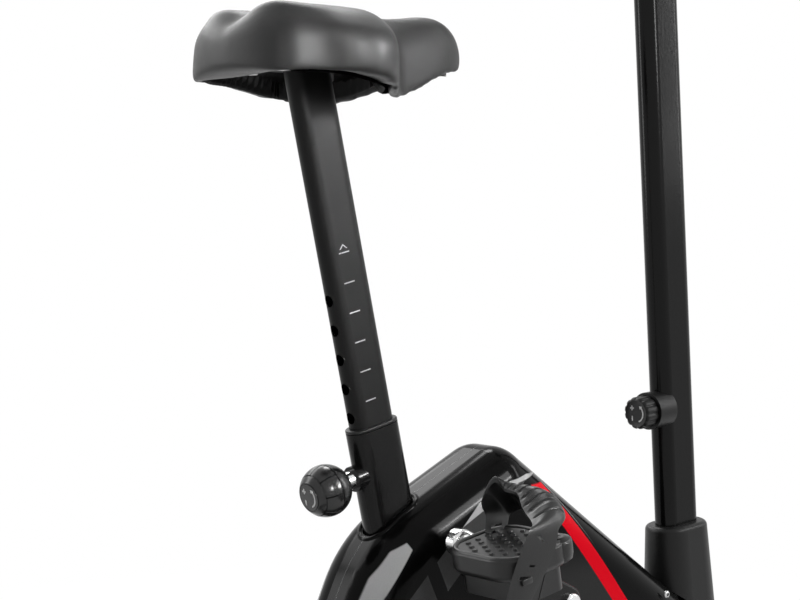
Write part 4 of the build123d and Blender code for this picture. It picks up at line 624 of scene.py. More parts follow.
def plate(shape, corners, low, high, place):
    """A flat plate from its outline."""
    base = [shape.verts.new(place @ Vector((x, y, low))) for x, y in corners]
    top = [shape.verts.new(place @ Vector((x, y, high))) for x, y in corners]
    shape.faces.new(base[::-1])
    shape.faces.new(top)
    for k in range(len(base)):
        nxt = (k + 1) % len(base)
        shape.faces.new((base[k], base[nxt], top[nxt], top[k]))


def rounded(corners, radius, arc=6):
    """The points of a convex outline whose corners are rounded to a radius."""
    points = []
    for before, here, after in zip(corners[-1:] + corners[:-1], corners, corners[1:] + corners[:1]):
        here = Vector(here)
        one = (Vector(before) - here).normalized()
        two = (Vector(after) - here).normalized()
        half = one.angle(two) / 2
        middle = here + (one + two).normalized() * (radius / sin(half))
        for k in range(arc + 1):
            spoke = here + (one * (arc - k) + two * k) * (radius / tan(half) / arc) - middle
            points.append(middle + spoke.normalized() * radius)
    return points


def in_mm(points):
    return [tuple(v * MM for v in point) for point in points]


# %% [markdown]
# ## Saddle cushion
# The saddle is foam under a tight vinyl cover. A lofted solid looks stiff, so the cushion is
# simulated. First its solid is remeshed into an even skin, because cloth needs faces of one size.

# %% Even skin
VOXEL = 4 * MM


def bake(piece):
    """Makes the piece's modifiers part of its mesh."""
    graph = bpy.context.evaluated_depsgraph_get()
    mesh = bpy.data.meshes.new_from_object(piece.evaluated_get(graph))
    piece.modifiers.clear()
    piece.data = mesh


def remeshed_copy(solid, name):
    """A fresh object with the solid's shape and an even skin."""
    shape = bmesh.new()
    shape.from_mesh(solid.data)
    bmesh.ops.remove_doubles(shape, verts=shape.verts, dist=1e-5)
    mesh = bpy.data.meshes.new(name)
    shape.to_mesh(mesh)
    shape.free()
    copy = bpy.data.objects.new(name, mesh)
    bpy.context.collection.objects.link(copy)
    remesh = copy.modifiers.new("even_skin", "REMESH")
    remesh.mode = "VOXEL"
    remesh.voxel_size = VOXEL
    bake(copy)
    return copy


saddle = remeshed_copy(nodes["saddle"], "saddle_cushion")
print(f"even skin of {len(saddle.data.vertices)} points")

# %% [markdown]
# A cushion's back is round, but a loft ends flat. So the end is bulged, and the lobes are smoothed
# in plan only, which rounds their corners and keeps their height. Smoothing shrinks, so a few
# millimetres are given back outwards.

# %% Round the rear
REAR_BULGE = 11 * MM
REAR_DEEP = 20 * MM
LOBE_LONG = 105 * MM
LOBE_EASE = 45 * MM
PLAN_PASSES = 50
PLAN_GAIN = 4 * MM
LOBE_PASSES = 8


def share_of(value):
    """The value, kept between 0 and 1."""
    return max(0.0, min(1.0, value))


def smoothed(shape, verts, passes, upright=True):
    """Smooths some points, in plan only unless upright too."""
    for turn in range(passes):
        bmesh.ops.smooth_vert(
            shape, verts=verts, factor=0.5, use_axis_x=True, use_axis_y=True, use_axis_z=upright
        )


cushion = bmesh.new()
cushion.from_mesh(saddle.data)
rear = min(vert.co.x for vert in cushion.verts)
end = [vert for vert in cushion.verts if vert.co.x < rear + 1 * MM]
half_wide = max(abs(vert.co.y) for vert in end)
low, high = min(vert.co.z for vert in end), max(vert.co.z for vert in end)
for vert in cushion.verts:
    near = max(0.0, 1 - (vert.co.x - rear) / REAR_DEEP)
    across = 1 - (vert.co.y / half_wide) ** 2
    upright = 1 - (2 * (vert.co.z - low) / (high - low) - 1) ** 2
    vert.co.x -= REAR_BULGE * near * max(0.0, across) * max(0.0, upright) ** 0.5
behind = [vert for vert in cushion.verts if vert.co.x < rear + LOBE_LONG]
smoothed(cushion, behind, PLAN_PASSES, upright=False)
cushion.normal_update()
for vert in behind:
    eased = min(1.0, (rear + LOBE_LONG - vert.co.x) / LOBE_EASE)
    vert.co.xy += vert.normal.xy * PLAN_GAIN * eased
smoothed(cushion, behind, LOBE_PASSES)
print(f"rear rounded over {len(behind)} points")

# %% [markdown]
# The cover is drawn tight over a board, so the cushion's wall stands upright and ends in a crisp
# foot. To find that wall, the skin is sorted into narrow bands: by turn round a hub in the lobes,
# by length along the nose. Each band's widest reach is where the wall belongs.

# %% Measure the wall
WALL_HUB = 92 * MM
WALL_STEP = 3.0
WALL_PITCH = 5 * MM
WALL_SKIN = 0.85
WALL_PASSES = 7
BOW = 8 * MM
BOW_HALF = 66 * MM
QUARTER = 90 / WALL_STEP
hub = rear + WALL_HUB


def band_of(vert):
    """Where a point lies along the wall, counted in bands from the middle of the rear."""
    if vert.co.x < hub:
        return degrees(atan2(abs(vert.co.y), hub - vert.co.x)) / WALL_STEP
    return QUARTER + (vert.co.x - hub) / WALL_PITCH


def reach_of(vert):
    """How far out a point lies: from the hub in the lobes, from the middle in the nose."""
    return hypot(vert.co.y, hub - vert.co.x) if vert.co.x < hub else abs(vert.co.y)


def evened(values):
    """The values of the bands, each blended with its neighbours."""
    for turn in range(WALL_PASSES):
        padded = values[:1] + values + values[-1:]
        values = [(a + 2 * b + c) / 4 for a, b, c in zip(padded, padded[1:], padded[2:])]
    return values


def between(values, band):
    """The value at a place between the middles of two bands."""
    band = max(0.0, min(len(values) - 1.001, band - 0.5))
    k, part = int(band), band - int(band)
    return values[k] * (1 - part) + values[k + 1] * part


bands = {}
for vert in cushion.verts:
    bands.setdefault(int(band_of(vert)), []).append(vert)
widest, foot, brow = [], [], []
for k in range(len(bands)):
    widest.append(max(reach_of(vert) for vert in bands[k]))
    heights = [vert.co.z for vert in bands[k] if reach_of(vert) > WALL_SKIN * widest[k]]
    foot.append(min(heights))
    brow.append(max(heights))
widest, foot, brow = evened(widest), evened(foot), evened(brow)
for k, wide in enumerate(widest):
    turn = radians((k + 0.5) * WALL_STEP)
    along = -wide * cos(turn) if turn < pi / 2 else (k + 0.5 - QUARTER) * WALL_PITCH
    if abs(along) < 1.5 * BOW_HALF:
        widest[k] += 0.5 * BOW * cos(pi * along / BOW_HALF)
print(f"wall measured in {len(widest)} bands")

# %% [markdown]
# Now points near the wall move out to it, less and less towards the brow. The foot is drawn down,
# the lobes' shoulders are filled up, the rear corners lean in, and the nose droops at its tip.

# %% Stand the wall up
WALL_TOP = 0.3
WALL_SHARE = 0.85
WALL_FROM, WALL_BLEND = 0.8, 0.12
WALL_LEAN = 0.055
FOOT_DROP = 4 * MM
SHOULDER = 4.5 * MM
SHOULDER_AT, SHOULDER_HALF = 0.84, 0.2
SHOULDER_FROM, SHOULDER_BLEND = 0.5, 0.4
CORNER_TURN, CORNER_HALF = 38, 32
TIP_DROOP = 5 * MM
TIP_LONG = 35 * MM
SOFT_PASSES = 4


def moved_out(vert, factor):
    """Moves a point away from the hub, or across from the middle in the nose."""
    vert.co.y *= factor
    if vert.co.x < hub:
        vert.co.x = hub + (vert.co.x - hub) * factor


for vert in cushion.verts:
    band = band_of(vert)
    wide, low, high = (between(values, band) for values in (widest, foot, brow))
    near = share_of((reach_of(vert) / wide - WALL_FROM) / WALL_BLEND)
    height = (vert.co.z - low) / (high - low)
    upper = share_of((height - WALL_TOP) / (1 - WALL_TOP))
    push = WALL_SHARE * near * (1 - upper * upper * (3 - 2 * upper))
    moved_out(vert, 1 + push * (wide / max(reach_of(vert), 0.5 * wide) - 1))
    vert.co.z -= FOOT_DROP * near * max(0.0, 1 - max(0.0, height) / WALL_TOP)
    ring = max(0.0, 1 - ((reach_of(vert) / wide - SHOULDER_AT) / SHOULDER_HALF) ** 2)
    corner = max(0.0, 1 - ((band * WALL_STEP - CORNER_TURN) / CORNER_HALF) ** 2)
    vert.co.z += SHOULDER * ring * corner * share_of((height - SHOULDER_FROM) / SHOULDER_BLEND)
    moved_out(vert, 1 - WALL_LEAN * corner * near * share_of(height))
tip = max(vert.co.x for vert in cushion.verts)
for vert in cushion.verts:
    vert.co.z -= TIP_DROOP * max(0.0, 1 - (tip - vert.co.x) / TIP_LONG) ** 2
smoothed(cushion, cushion.verts, SOFT_PASSES)
cushion.to_mesh(saddle.data)
cushion.free()
print(f"nose ends at x = {tip:.3f} m")

# %% [markdown]
# The skin becomes cloth with a little pressure inside, and twenty steps let it swell. The moves
# are then evened out between neighbours, and a cap on them keeps the cushion's shape true.

# %% Swell the cushion
SWELL_CAP = 3 * MM
PRESSURE = 4.0
SIM_STEPS = 20
EVEN_PASSES = 30


def swollen(piece):
    """Lets cloth pressure swell the piece, no further than the cap."""
    rest = [vert.co.copy() for vert in piece.data.vertices]
    cloth = piece.modifiers.new("swell", "CLOTH")
    cloth.settings.use_pressure = True
    cloth.settings.uniform_pressure_force = PRESSURE
    cloth.settings.effector_weights.gravity = 0.0
    cloth.settings.quality = 5
    scene = bpy.context.scene
    for step in range(1, SIM_STEPS + 1):
        scene.frame_set(step)
    bake(piece)
    scene.frame_set(1)
    moves = [vert.co - start for vert, start in zip(piece.data.vertices, rest)]
    around = [[] for start in rest]
    for edge in piece.data.edges:
        one, two = edge.vertices
        around[one].append(two)
        around[two].append(one)
    for turn in range(EVEN_PASSES):
        moves = [
            sum((moves[k] for k in near), move) / (len(near) + 1)
            for move, near in zip(moves, around)
        ]
    for vert, start, move in zip(piece.data.vertices, rest, moves):
        vert.co = start + move * min(1.0, SWELL_CAP / max(move.length, 1e-9))


swollen(saddle)
saddle.data.materials.clear()
saddle.data.materials.append(finishes["saddle_vinyl"])
saddle.data.polygons.foreach_set("use_smooth", [True] * len(saddle.data.polygons))
smoothing = saddle.modifiers.new("fine_skin", "SUBSURF")
smoothing.levels = 1
smoothing.render_levels = 1
bake(saddle)
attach(saddle, "seat")
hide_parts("saddle")
print(f"cushion: {len(saddle.data.polygons)} faces")

# %% [markdown]
# ## Gathered hem under the saddle
# The vinyl is pulled round the rim and stapled to the board beneath, so its edge bunches into
# many small pleats. The hem follows the rim: a closed loop of points is extruded inwards and
# upwards, and every second point is pushed out and in by an uneven amount.

# %% Pleated hem
RIM = [
    (-172, 60, 344), (-154, 86, 338), (-110, 101, 337), (-50, 99, 329), (-13, 55, 327),
    (30, 40, 338), (70, 34, 352), (94, 26, 359), (106, 14, 365),
]
PLEATS = 130
HEM_ROWS = ((14.5, 1.0, 0.2), (18.5, 3.0, 1.2), (21, 10.0, 2.0), (25, 18.0, 2.2))
BOARD_UNDER = 836 * MM
NOSE_TUCK = 9 * MM
NOSE_LONG = 60 * MM


def smooth_path(points, count, closed=False):
    """Points spread along a Catmull-Rom curve through the given points."""
    points = [Vector(point) for point in points]
    spans = len(points) if closed else len(points) - 1
    path = []
    for k in range(count):
        place = k * spans / (count if closed else count - 1)
        span = min(int(place), spans - 1)
        share = place - span
        if closed:
            a, b, c, d = (points[(span + j - 1) % len(points)] for j in range(4))
        else:
            a, b, c, d = (points[max(0, min(len(points) - 1, span + j - 1))] for j in range(4))
        path.append(
            0.5 * (2 * b + (c - a) * share + (2 * a - 5 * b + 4 * c - d) * share**2
                   + (3 * b - a - 3 * c + d) * share**3)
        )
    return path


rim_right = [(tube_top.x + x * MM, -y * MM, tube_top.z + z * MM) for x, y, z in RIM]
rim_left = [(x, -y, z) for x, y, z in reversed(rim_right)]
rim = smooth_path(rim_right + rim_left, 2 * PLEATS, closed=True)
draw = random.Random(11)
rows = []
shape = bmesh.new()
for inset, lift, pleat in HEM_ROWS:
    row = []
    for k, point in enumerate(rim):
        side = (rim[(k + 1) % len(rim)] - rim[k - 1]).normalized()
        inward = Vector((-side.y, side.x, 0)).normalized()
        crimp = pleat * (1 if k % 2 else -1) * draw.uniform(0.4, 1.4)
        spot = point + inward * min((inset + crimp) * MM, 0.75 * max(abs(point.y), 8 * MM))
        tucked = NOSE_TUCK * max(0.0, min(1.0, (point.x - tube_top.x) / NOSE_LONG))
        spot.z = min(point.z + (lift + 0.5 * crimp) * MM + tucked, BOARD_UNDER - 1.0 * MM)
        row.append(shape.verts.new(spot))
    rows.append(row)
for lower, upper in zip(rows, rows[1:]):
    for k in range(len(lower)):
        nxt = (k + 1) % len(lower)
        shape.faces.new((lower[k], lower[nxt], upper[nxt], upper[k]))
bmesh.ops.solidify(shape, geom=shape.faces[:], thickness=0.8 * MM)
settle(shape, "saddle_hem", "seat", "hem_cloth", 70.0)

# %% [markdown]
# ## Eyelets round the post's holes
# Punching left a narrow collar round each hole, which the coat covers. The post's rear edge is
# round, so a collar can't be a flat washer: circles are drawn, each point drops onto the round
# edge, and the circles are bridged to a narrow band.

# %% Hole rims
POST_HALF = 25 * MM
HOLE_RADIUS = 6 * MM
RIM_OUT = HOLE_RADIUS + 0.7 * MM
RIM_PROFILE = (
    (HOLE_RADIUS, 0.0), (HOLE_RADIUS, 0.25 * MM), (RIM_OUT, 0.2 * MM), (RIM_OUT, -0.2 * MM),
)
post_frame = frame_at(post_middle, seat_along)
shape = bmesh.new()
for k in range(HOLES):
    loops = []
    for radius, proud in RIM_PROFILE:
        made = bmesh.ops.create_circle(shape, segments=40, radius=radius)["verts"]
        for vert in made:
            across, up = vert.co.x, vert.co.y
            back = POST_HALF - POST_SIDE + sqrt(POST_SIDE**2 - across**2) + proud
            vert.co = post_frame @ Vector((-back, across, k * HOLE_PITCH + up))
        loops.append({edge for vert in made for edge in vert.link_edges})
    for inner, outer in zip(loops, loops[1:]):
        bmesh.ops.bridge_loops(shape, edges=list(inner | outer))
settle(shape, "post_hole_rims", "seat", "frame_paint")

# %% [markdown]
# ## Adjuster knob
# The ball knob that pulls the pin has a ribbed neck, a ring groove, meridian grooves and a flat
# end. Spinning a profile gives all that is round; the meridian grooves are then pressed in at
# even turns. On the end, a curved arrow with plus and minus shows that turning it loosens and
# tightens.

# %% Knob body
pin_place = frame_at(post_middle, pin_back)
BALL_AT = 70 * MM
BALL = 26 * MM
DISC = 15 * MM
NECK_BORE = 10.6 * MM
PIN_BORE = 5.06 * MM
PIN_END, STEP_AT, NECK_AT = 83.7 * MM, 62.5 * MM, 47.6 * MM
GROOVE = 1.1 * MM
MERIDIANS = 8
KNOB_STEPS = 192
NECK_RIBS = 6
RIB_LEAD, RIB_TURN = 0.6, 3.4
RIB_SUNK = 1.0 * MM
RING_TURNS = (radians(85), radians(127))
RING_HALF = radians(1.4)
disc_at = BALL_AT + sqrt(BALL**2 - DISC**2)
neck_turn = radians(30)
end_turn = pi - asin(DISC / BALL)


def ball_point(turn, sunk=0.0):
    """A point of the ball's profile, by its turn from the neck."""
    return ((BALL - sunk) * sin(turn), BALL_AT - (BALL - sunk) * cos(turn))


def ball_arc(start, end, count):
    return [ball_point(start + (end - start) * k / count) for k in range(count + 1)]


outline = [(0, PIN_END), (PIN_BORE, PIN_END), (PIN_BORE, STEP_AT), (NECK_BORE, STEP_AT),
           (NECK_BORE, NECK_AT), ball_point(neck_turn, 0.6 * MM)]
for k in range(NECK_RIBS):
    rib = neck_turn + radians(RIB_LEAD + RIB_TURN * k)
    outline += [ball_point(rib, RIB_SUNK), ball_point(rib + radians(0.8)),
                ball_point(rib + radians(2.2)), ball_point(rib + radians(3.0), RIB_SUNK)]
start = neck_turn + radians(RIB_LEAD + RIB_TURN * NECK_RIBS)
for ring in RING_TURNS:
    outline += ball_arc(start, ring - RING_HALF, 12)
    outline += [ball_point(ring - RING_HALF / 2, GROOVE), ball_point(ring + RING_HALF / 2, GROOVE)]
    start = ring + RING_HALF
outline += ball_arc(start, end_turn - radians(1.5), 8)
outline += [(DISC, disc_at - 0.1 * MM), (DISC - 0.4 * MM, disc_at - 0.7 * MM),
            (DISC - 1.2 * MM, disc_at - 0.7 * MM), (DISC - 1.6 * MM, disc_at + 0.2 * MM),
            (8 * MM, disc_at + 0.4 * MM), (0, disc_at + 0.45 * MM)]
shape = bmesh.new()
turned(shape, outline, KNOB_STEPS, Matrix.Identity(4))
panel_low = ball_point(RING_TURNS[0])[1]
panel_high = ball_point(RING_TURNS[1])[1]
for vert in shape.verts:
    radius = hypot(vert.co.x, vert.co.y)
    turn = atan2(vert.co.y, vert.co.x) / (2 * pi / MERIDIANS)
    if panel_low < vert.co.z < panel_high and radius > DISC and abs(turn - round(turn)) < 0.01:
        vert.co.x *= 1 - GROOVE / radius
        vert.co.y *= 1 - GROOVE / radius
bmesh.ops.transform(shape, matrix=pin_place, verts=shape.verts)
knob = settle(shape, "ball_knob", "knob", "knob_plastic", 24.0)
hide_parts("adjuster_knob")

# %% [markdown]
# ### Signs on a knob's end
# A curved arrow is a ring sector with a head; plus and minus are plates. They are raised print, a
# quarter of a millimetre thick, and turn with the knob.


# %% Turning signs
def oblong(x, y, half_x, half_y):
    """The corners of a rectangle about its middle."""
    low, high = y - half_y, y + half_y
    return [(x - half_x, low), (x + half_x, low), (x + half_x, high), (x - half_x, high)]


def turning_signs(shape, radius, lift, place):
    """A curved arrow below the middle, with minus and plus over its ends."""
    half, head, high = 0.085 * radius, 0.25 * radius, 0.25 * MM
    arc = [radians(200 + 7 * k) for k in range(17)]
    rails = (radius - half, radius + half)
    ways = [[(reach * cos(t), reach * sin(t)) for t in arc] for reach in rails]
    for k in range(len(arc) - 1):
        corners = [ways[0][k], ways[1][k], ways[1][k + 1], ways[0][k + 1]]
        plate(shape, corners, lift, lift + high, place)
    last, tip = arc[-1], arc[-1] + radians(20)
    plate(shape, [
        ((radius - head) * cos(last), (radius - head) * sin(last)),
        ((radius + head) * cos(last), (radius + head) * sin(last)),
        (radius * cos(tip), radius * sin(tip)),
    ], lift, lift + high, place)
    arm, thick = 0.28 * radius, 0.075 * radius
    for side in (-1, 1):
        middle = (side * 0.6 * radius, 0.62 * radius)
        spans = [(arm, thick)] if side < 0 else [(arm, thick), (thick, arm)]
        for wide, tall in spans:
            plate(shape, oblong(*middle, wide, tall), lift, lift + high, place)


shape = bmesh.new()
turning_signs(shape, 9.5 * MM, disc_at + 0.3 * MM, pin_place)
settle(shape, "knob_arrow", "knob", "white_ink")

# %% [markdown]
# ## Pedals
# The pedals are moulded: a rim runs round the tread, rows of round studs stop the shoe from
# sliding, and a lug on the outer front corner takes the strap's buckle. Each is built once in
# the pedal's own frame, x to its front and y outwards, and placed on both sides.

# %% Pedal frames
PEDAL_TILT = radians(10)
TREAD_TOP = 10 * MM


def pedal_place(side):
    """The frame of a pedal: local x to its front, y away from the bike, z up out of the tread."""
    out = -1 if side == "right" else 1
    origin = Vector(joints[f"{side}_pedal_spin"]["pos_m"])
    fore = Vector((cos(PEDAL_TILT), 0, sin(PEDAL_TILT)))
    up = Vector((-sin(PEDAL_TILT), 0, cos(PEDAL_TILT)))
    turn = Matrix((fore, Vector((0, out, 0)), up)).transposed().to_4x4()
    return Matrix.Translation(origin) @ turn


TREAD_LONG = 45 * MM
TREAD_WIDE = 51 * MM
TREAD_ROUND = 32 * MM
STUD_PITCH = 13 * MM
STUD_RADIUS = 3.2 * MM
STUD_HIGH = 1.9 * MM
STUD_SUNK = 0.1 * MM
ROW_SHARE = 0.87
EDGE_CLEAR = 9 * MM
LUG_CLEAR = 18 * MM
BORDER = ((0.8, 7.0), (1.0, 9.4), (2.0, 11.2), (3.6, 12.0), (5.2, 11.8), (6.6, 10.8), (7.0, 9.0))
LUG = ((0, 10.6), (4.6, 10.6), (5.4, 12.2), (7.0, 12.9), (9.4, 12.7), (11.2, 11.6), (13.4, 11.0),
       (14.8, 9.6), (15.4, 7.0), (15.4, -4.0), (14.0, -9.0), (10.0, -12.0), (0, -12.0))
LUG_AT = (29.4 * MM, 35.4 * MM)


def tread_edge(x, y):
    """How far a point lies inside the tread's rounded outline."""
    off_x = max(abs(x) - TREAD_LONG + TREAD_ROUND, 0)
    off_y = max(abs(y) - TREAD_WIDE + TREAD_ROUND, 0)
    return min(TREAD_LONG - abs(x), TREAD_WIDE - abs(y), TREAD_ROUND - hypot(off_x, off_y))


def tread_ring(inset, height):
    """The tread's outline, drawn in by an inset."""
    long, wide = TREAD_LONG - inset, TREAD_WIDE - inset
    corners = [(long, wide), (-long, wide), (-long, -wide), (long, -wide)]
    return [(point.x, point.y, height) for point in rounded(corners, TREAD_ROUND - inset, 10)]


for side in ("right", "left"):
    shape = bmesh.new()
    for row in range(-4, 5):
        for column in range(-4, 5):
            x = (column + (0.5 if row % 2 else 0.0)) * STUD_PITCH
            y = row * STUD_PITCH * ROW_SHARE
            if tread_edge(x, y) < EDGE_CLEAR or hypot(x - LUG_AT[0], y - LUG_AT[1]) < LUG_CLEAR:
                continue
            spot = Matrix.Translation((x, y, TREAD_TOP + STUD_HIGH / 2 - STUD_SUNK))
            bmesh.ops.create_cone(
                shape, cap_ends=True, segments=18, radius1=STUD_RADIUS, radius2=STUD_RADIUS * 0.7,
                depth=STUD_HIGH, matrix=spot,
            )
    skinned(shape, [tread_ring(inset * MM, height * MM) for inset, height in BORDER], around=True)
    lug = [(radius * MM, height * MM) for radius, height in LUG]
    turned(shape, lug, 40, Matrix.Translation((*LUG_AT, 0)))
    bmesh.ops.transform(shape, matrix=pedal_place(side), verts=shape.verts)
    settle(shape, f"{side}_tread", f"{side}_pedal", "pedal_plastic", 35.0)

# %% [markdown]
# ## Toe straps
# Each strap is a rubber band: a leg with a window rises from the tread, the band arches over the
# toes with cross grooves, and a second leg slants down outside the pedal, through its buckle, to
# a loose tail. It is a grid stretched over three curves, its two edges and its middle. Windows
# are cut out, grooves pressed in, and the sheet is given its thickness.

# %% Strap band
STRAP_REAR = [
    (5, -36, 8), (8, -37, 20), (11.5, -38, 32.6), (11.1, -44, 39.5), (19.3, -44, 49.4),
    (25.4, -36, 62.3), (25.7, -28, 57.8), (22.6, -20, 54), (23.3, -9, 53.9), (20.7, 2, 51.6),
    (10.4, 14, 44.4), (3.8, 28, 39.6), (-7.5, 46, 37.3), (-17.4, 52, 36.6), (-26, 53, 28.6),
    (-34, 53, 19), (-44.4, 52, 4), (-52.7, 52, -8.8), (-57.8, 52, -17.9), (-64, 52, -29),
]
STRAP_MIDDLE = [
    (19, -36, 8), (23, -37, 18), (27, -39, 30), (27, -43, 42), (29, -41, 53), (31, -33, 61),
    (29.9, -25, 59.8), (31.8, -15, 58.3), (34.2, -4, 57.1), (36.5, 9, 57), (36, 22, 54.2),
    (30, 35, 49), (17, 49, 39.5), (1, 53, 33.5), (-6, 54, 25), (-15, 54.5, 13), (-27, 54.5, -1.5),
    (-36, 54.5, -12), (-43, 54.5, -21), (-51, 54.5, -35),
]
STRAP_FRONT = [
    (33, -36, 8), (38, -37, 16), (42.7, -38, 23.4), (44.2, -32, 26.4), (43, -26, 29),
    (39.8, -18, 32.3), (44, -10, 35), (45, -2, 37), (46, 7, 37), (47, 17, 36), (46, 28, 36),
    (42, 39, 35), (31.7, 49, 32.4), (16.9, 53, 28.9), (14.2, 54, 21.3), (5, 54.5, 7.1),
    (-8.3, 54.5, -6.9), (-18, 54.5, -15.5), (-28, 54.5, -24), (-38, 54.5, -40),
]
STRAP_STEPS = 228
STRAP_ROWS = 24
STRAP_THICK = 2.6 * MM
# Windows as the stretch along the strap in curve points, then the share of its width
STRAP_WINDOWS = ((0.55, 1.05, 0.26, 0.74), (15.5, 15.72, 0.36, 0.6), (16.2, 16.62, 0.2, 0.66))
SLIT_FROM, SLIT_TO, SLIT_SHARE, SLIT_SLANT, SLIT_HALF = 13.6, 14.35, 0.3, 0.45, 0.085
GROOVE_FROM, GROOVE_TO, GROOVES = 5.4, 11.6, 9
GROOVE_DEEP = 1.0 * MM
GROOVE_SHARE = 0.14
STRAP_EVEN = 40
TONGUE_AT = (-33 * MM, 54 * MM, -8.5 * MM)
TONGUE_SIZE = (13 * MM, 6 * MM, 6 * MM)
TONGUE_ROUND = 1.2 * MM


def strap_window(along, share):
    """Whether the strap is cut away at a place along it and across it."""
    slit = SLIT_SHARE + SLIT_SLANT * (along - SLIT_FROM)
    if SLIT_FROM < along < SLIT_TO and abs(share - slit) < SLIT_HALF:
        return True
    return any(a < along < b and c < share < d for a, b, c, d in STRAP_WINDOWS)


def strap_grid():
    """Points of the strap, row by row across it, evened along its length."""
    guides = (STRAP_REAR, STRAP_MIDDLE, STRAP_FRONT)
    curves = [smooth_path(in_mm(guide), STRAP_STEPS + 1) for guide in guides]
    rows = []
    for k in range(STRAP_ROWS + 1):
        share = k / STRAP_ROWS
        row = [
            rear * ((1 - share) * (1 - 2 * share)) + middle * (4 * share * (1 - share))
            + front * (share * (2 * share - 1))
            for rear, middle, front in zip(*curves)
        ]
        for passes in range(STRAP_EVEN):
            inner = [(a + 2 * b + c) / 4 for a, b, c in zip(row, row[1:], row[2:])]
            row = row[:1] + inner + row[-1:]
        rows.append(row)
    return rows


def strap_band(side):
    rows = strap_grid()
    spans = len(STRAP_REAR) - 1
    shape = bmesh.new()
    bmesh.ops.create_grid(shape, x_segments=STRAP_STEPS, y_segments=STRAP_ROWS, size=0.5)
    cut = []
    for face in shape.faces:
        middle = face.calc_center_median()
        if strap_window((middle.x + 0.5) * spans, middle.y + 0.5):
            cut.append(face)
    bmesh.ops.delete(shape, geom=cut, context="FACES")
    for vert in shape.verts:
        step = round((vert.co.x + 0.5) * STRAP_STEPS)
        row = round((vert.co.y + 0.5) * STRAP_ROWS)
        along = step * spans / STRAP_STEPS
        run = rows[row][min(step + 1, STRAP_STEPS)] - rows[row][max(step - 1, 0)]
        width = rows[min(row + 1, STRAP_ROWS)][step] - rows[max(row - 1, 0)][step]
        sunk = 0.0
        if GROOVE_FROM < along < GROOVE_TO and 1 < row < STRAP_ROWS - 1:
            turn = (along - GROOVE_FROM) / (GROOVE_TO - GROOVE_FROM) * GROOVES
            sunk = GROOVE_DEEP if abs(turn - round(turn)) < GROOVE_SHARE else 0.0
        vert.co = rows[row][step] - width.cross(run).normalized() * sunk
    bmesh.ops.solidify(shape, geom=shape.faces[:], thickness=STRAP_THICK)
    block(shape, TONGUE_AT, TONGUE_SIZE, TONGUE_ROUND, Matrix.Identity(4))
    bmesh.ops.transform(shape, matrix=pedal_place(side), verts=shape.verts)
    return shape


for side in ("right", "left"):
    name, body = f"{side}_toe_strap", f"{side}_pedal"
    strap = settle(strap_band(side), name, body, "strap_rubber", 35.0)
    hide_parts(f"{side}_strap")

# %% [markdown]
# ## Shroud lip and screws
# Where the seat tube enters the shroud, the moulding ends in a rolled lip. Rays dropped along the
# tube onto the shroud give the lip's path and the direction in which it stands; a half-round
# section follows them. Button-head screws hold the halves together.

# %% Lip round the seat tube
seat_fore = Vector((seat_along.z, 0, -seat_along.x))
LIP_CENTRES = 15 * MM
LIP_RADIUS = 19.5 * MM
LIP_STEPS = 72
LIP_SECTION = in_mm(
    [(-2.4, -1.5), (-2.4, 0.6), (-1.6, 1.7), (0, 2.1), (1.6, 1.6), (2.8, 0.6), (3.6, -1.5)]
)
rings = []
for k in range(LIP_STEPS):
    turn = 2 * pi * (k + 0.5) / LIP_STEPS
    away = (seat_fore * cos(turn) + Vector((0, sin(turn), 0))).normalized()
    start = tube_top + away * LIP_RADIUS + seat_fore * copysign(LIP_CENTRES, cos(turn))
    solid = nodes["left_shroud" if start.y > 0 else "right_shroud"]
    spot, normal = solid.ray_cast(start, -seat_along)[1:3]
    away = (away - normal * away.dot(normal)).normalized()
    rings.append([spot + away * out + normal * up for out, up in LIP_SECTION])
shape = bmesh.new()
skinned(shape, rings, around=True)
settle(shape, "shroud_lip", "frame", "shroud_plastic", 60.0)

# %% [markdown]
# Each screw is a spun profile with a round socket; they stand on both flat sides.

# %% Shroud screws
SCREWS = in_metres([(-196, 118), (-40, 112), (130, 108), (318, 116), (322, 176), (215, 262)])
SCREW = in_mm([(0, -1.4), (1.9, -1.4), (1.9, 1.5), (2.6, 1.6), (3.6, 1.1), (4.2, 0.2), (4.2, -1.0)])
SHROUD_SIDE = 52 * MM
shape = bmesh.new()
for side in (-1, 1):
    for x, z in SCREWS:
        place = frame_at((x, side * SHROUD_SIDE, z), (0, side, 0), Vector((0, 0, 1)))
        turned(shape, SCREW, 28, place)
settle(shape, "shroud_screws", "frame", "steel", 30.0)

# %% [markdown]
# ## Handlebar grips
# Foam sleeves close each end of the bar. A gentle swell and a rounded end make them soft; the
# finish adds the pores.

# %% Foam grips
bar_at = Vector(joints["bar_tilt"]["pos_m"])
GRIP_LONG = 104 * MM
GRIP_STEPS = 40
GRIP_RADIUS, GRIP_SWELL, GRIP_WAVE = 16.9, 0.35, 0.22
shape = bmesh.new()
for side in (-1, 1):
    corner = bar_at + Vector((28, side * 228, 56)) * MM
    tip = bar_at + Vector((-172, side * 212, 84)) * MM
    profile = [(12.7 * MM, -GRIP_LONG), (15.6 * MM, -GRIP_LONG), (16.6 * MM, -GRIP_LONG + 1.2 * MM)]
    for k in range(GRIP_STEPS + 1):
        swell = GRIP_RADIUS + GRIP_SWELL * sin(pi * k / GRIP_STEPS)
        swell += GRIP_WAVE * cos(2 * pi * k / 8)
        profile.append((swell * MM, -GRIP_LONG + (2.5 + 100 * k / GRIP_STEPS) * MM))
    profile += in_mm([(16.4, 1.0), (15.0, 3.2), (12.0, 4.3), (4.2, 4.5), (3.4, 3.4), (0, 3.2)])
    turned(shape, profile, 56, frame_at(tip, tip - corner))
grips = settle(shape, "foam_grips", "handlebar", "grip_foam", 50.0)
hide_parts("grips")

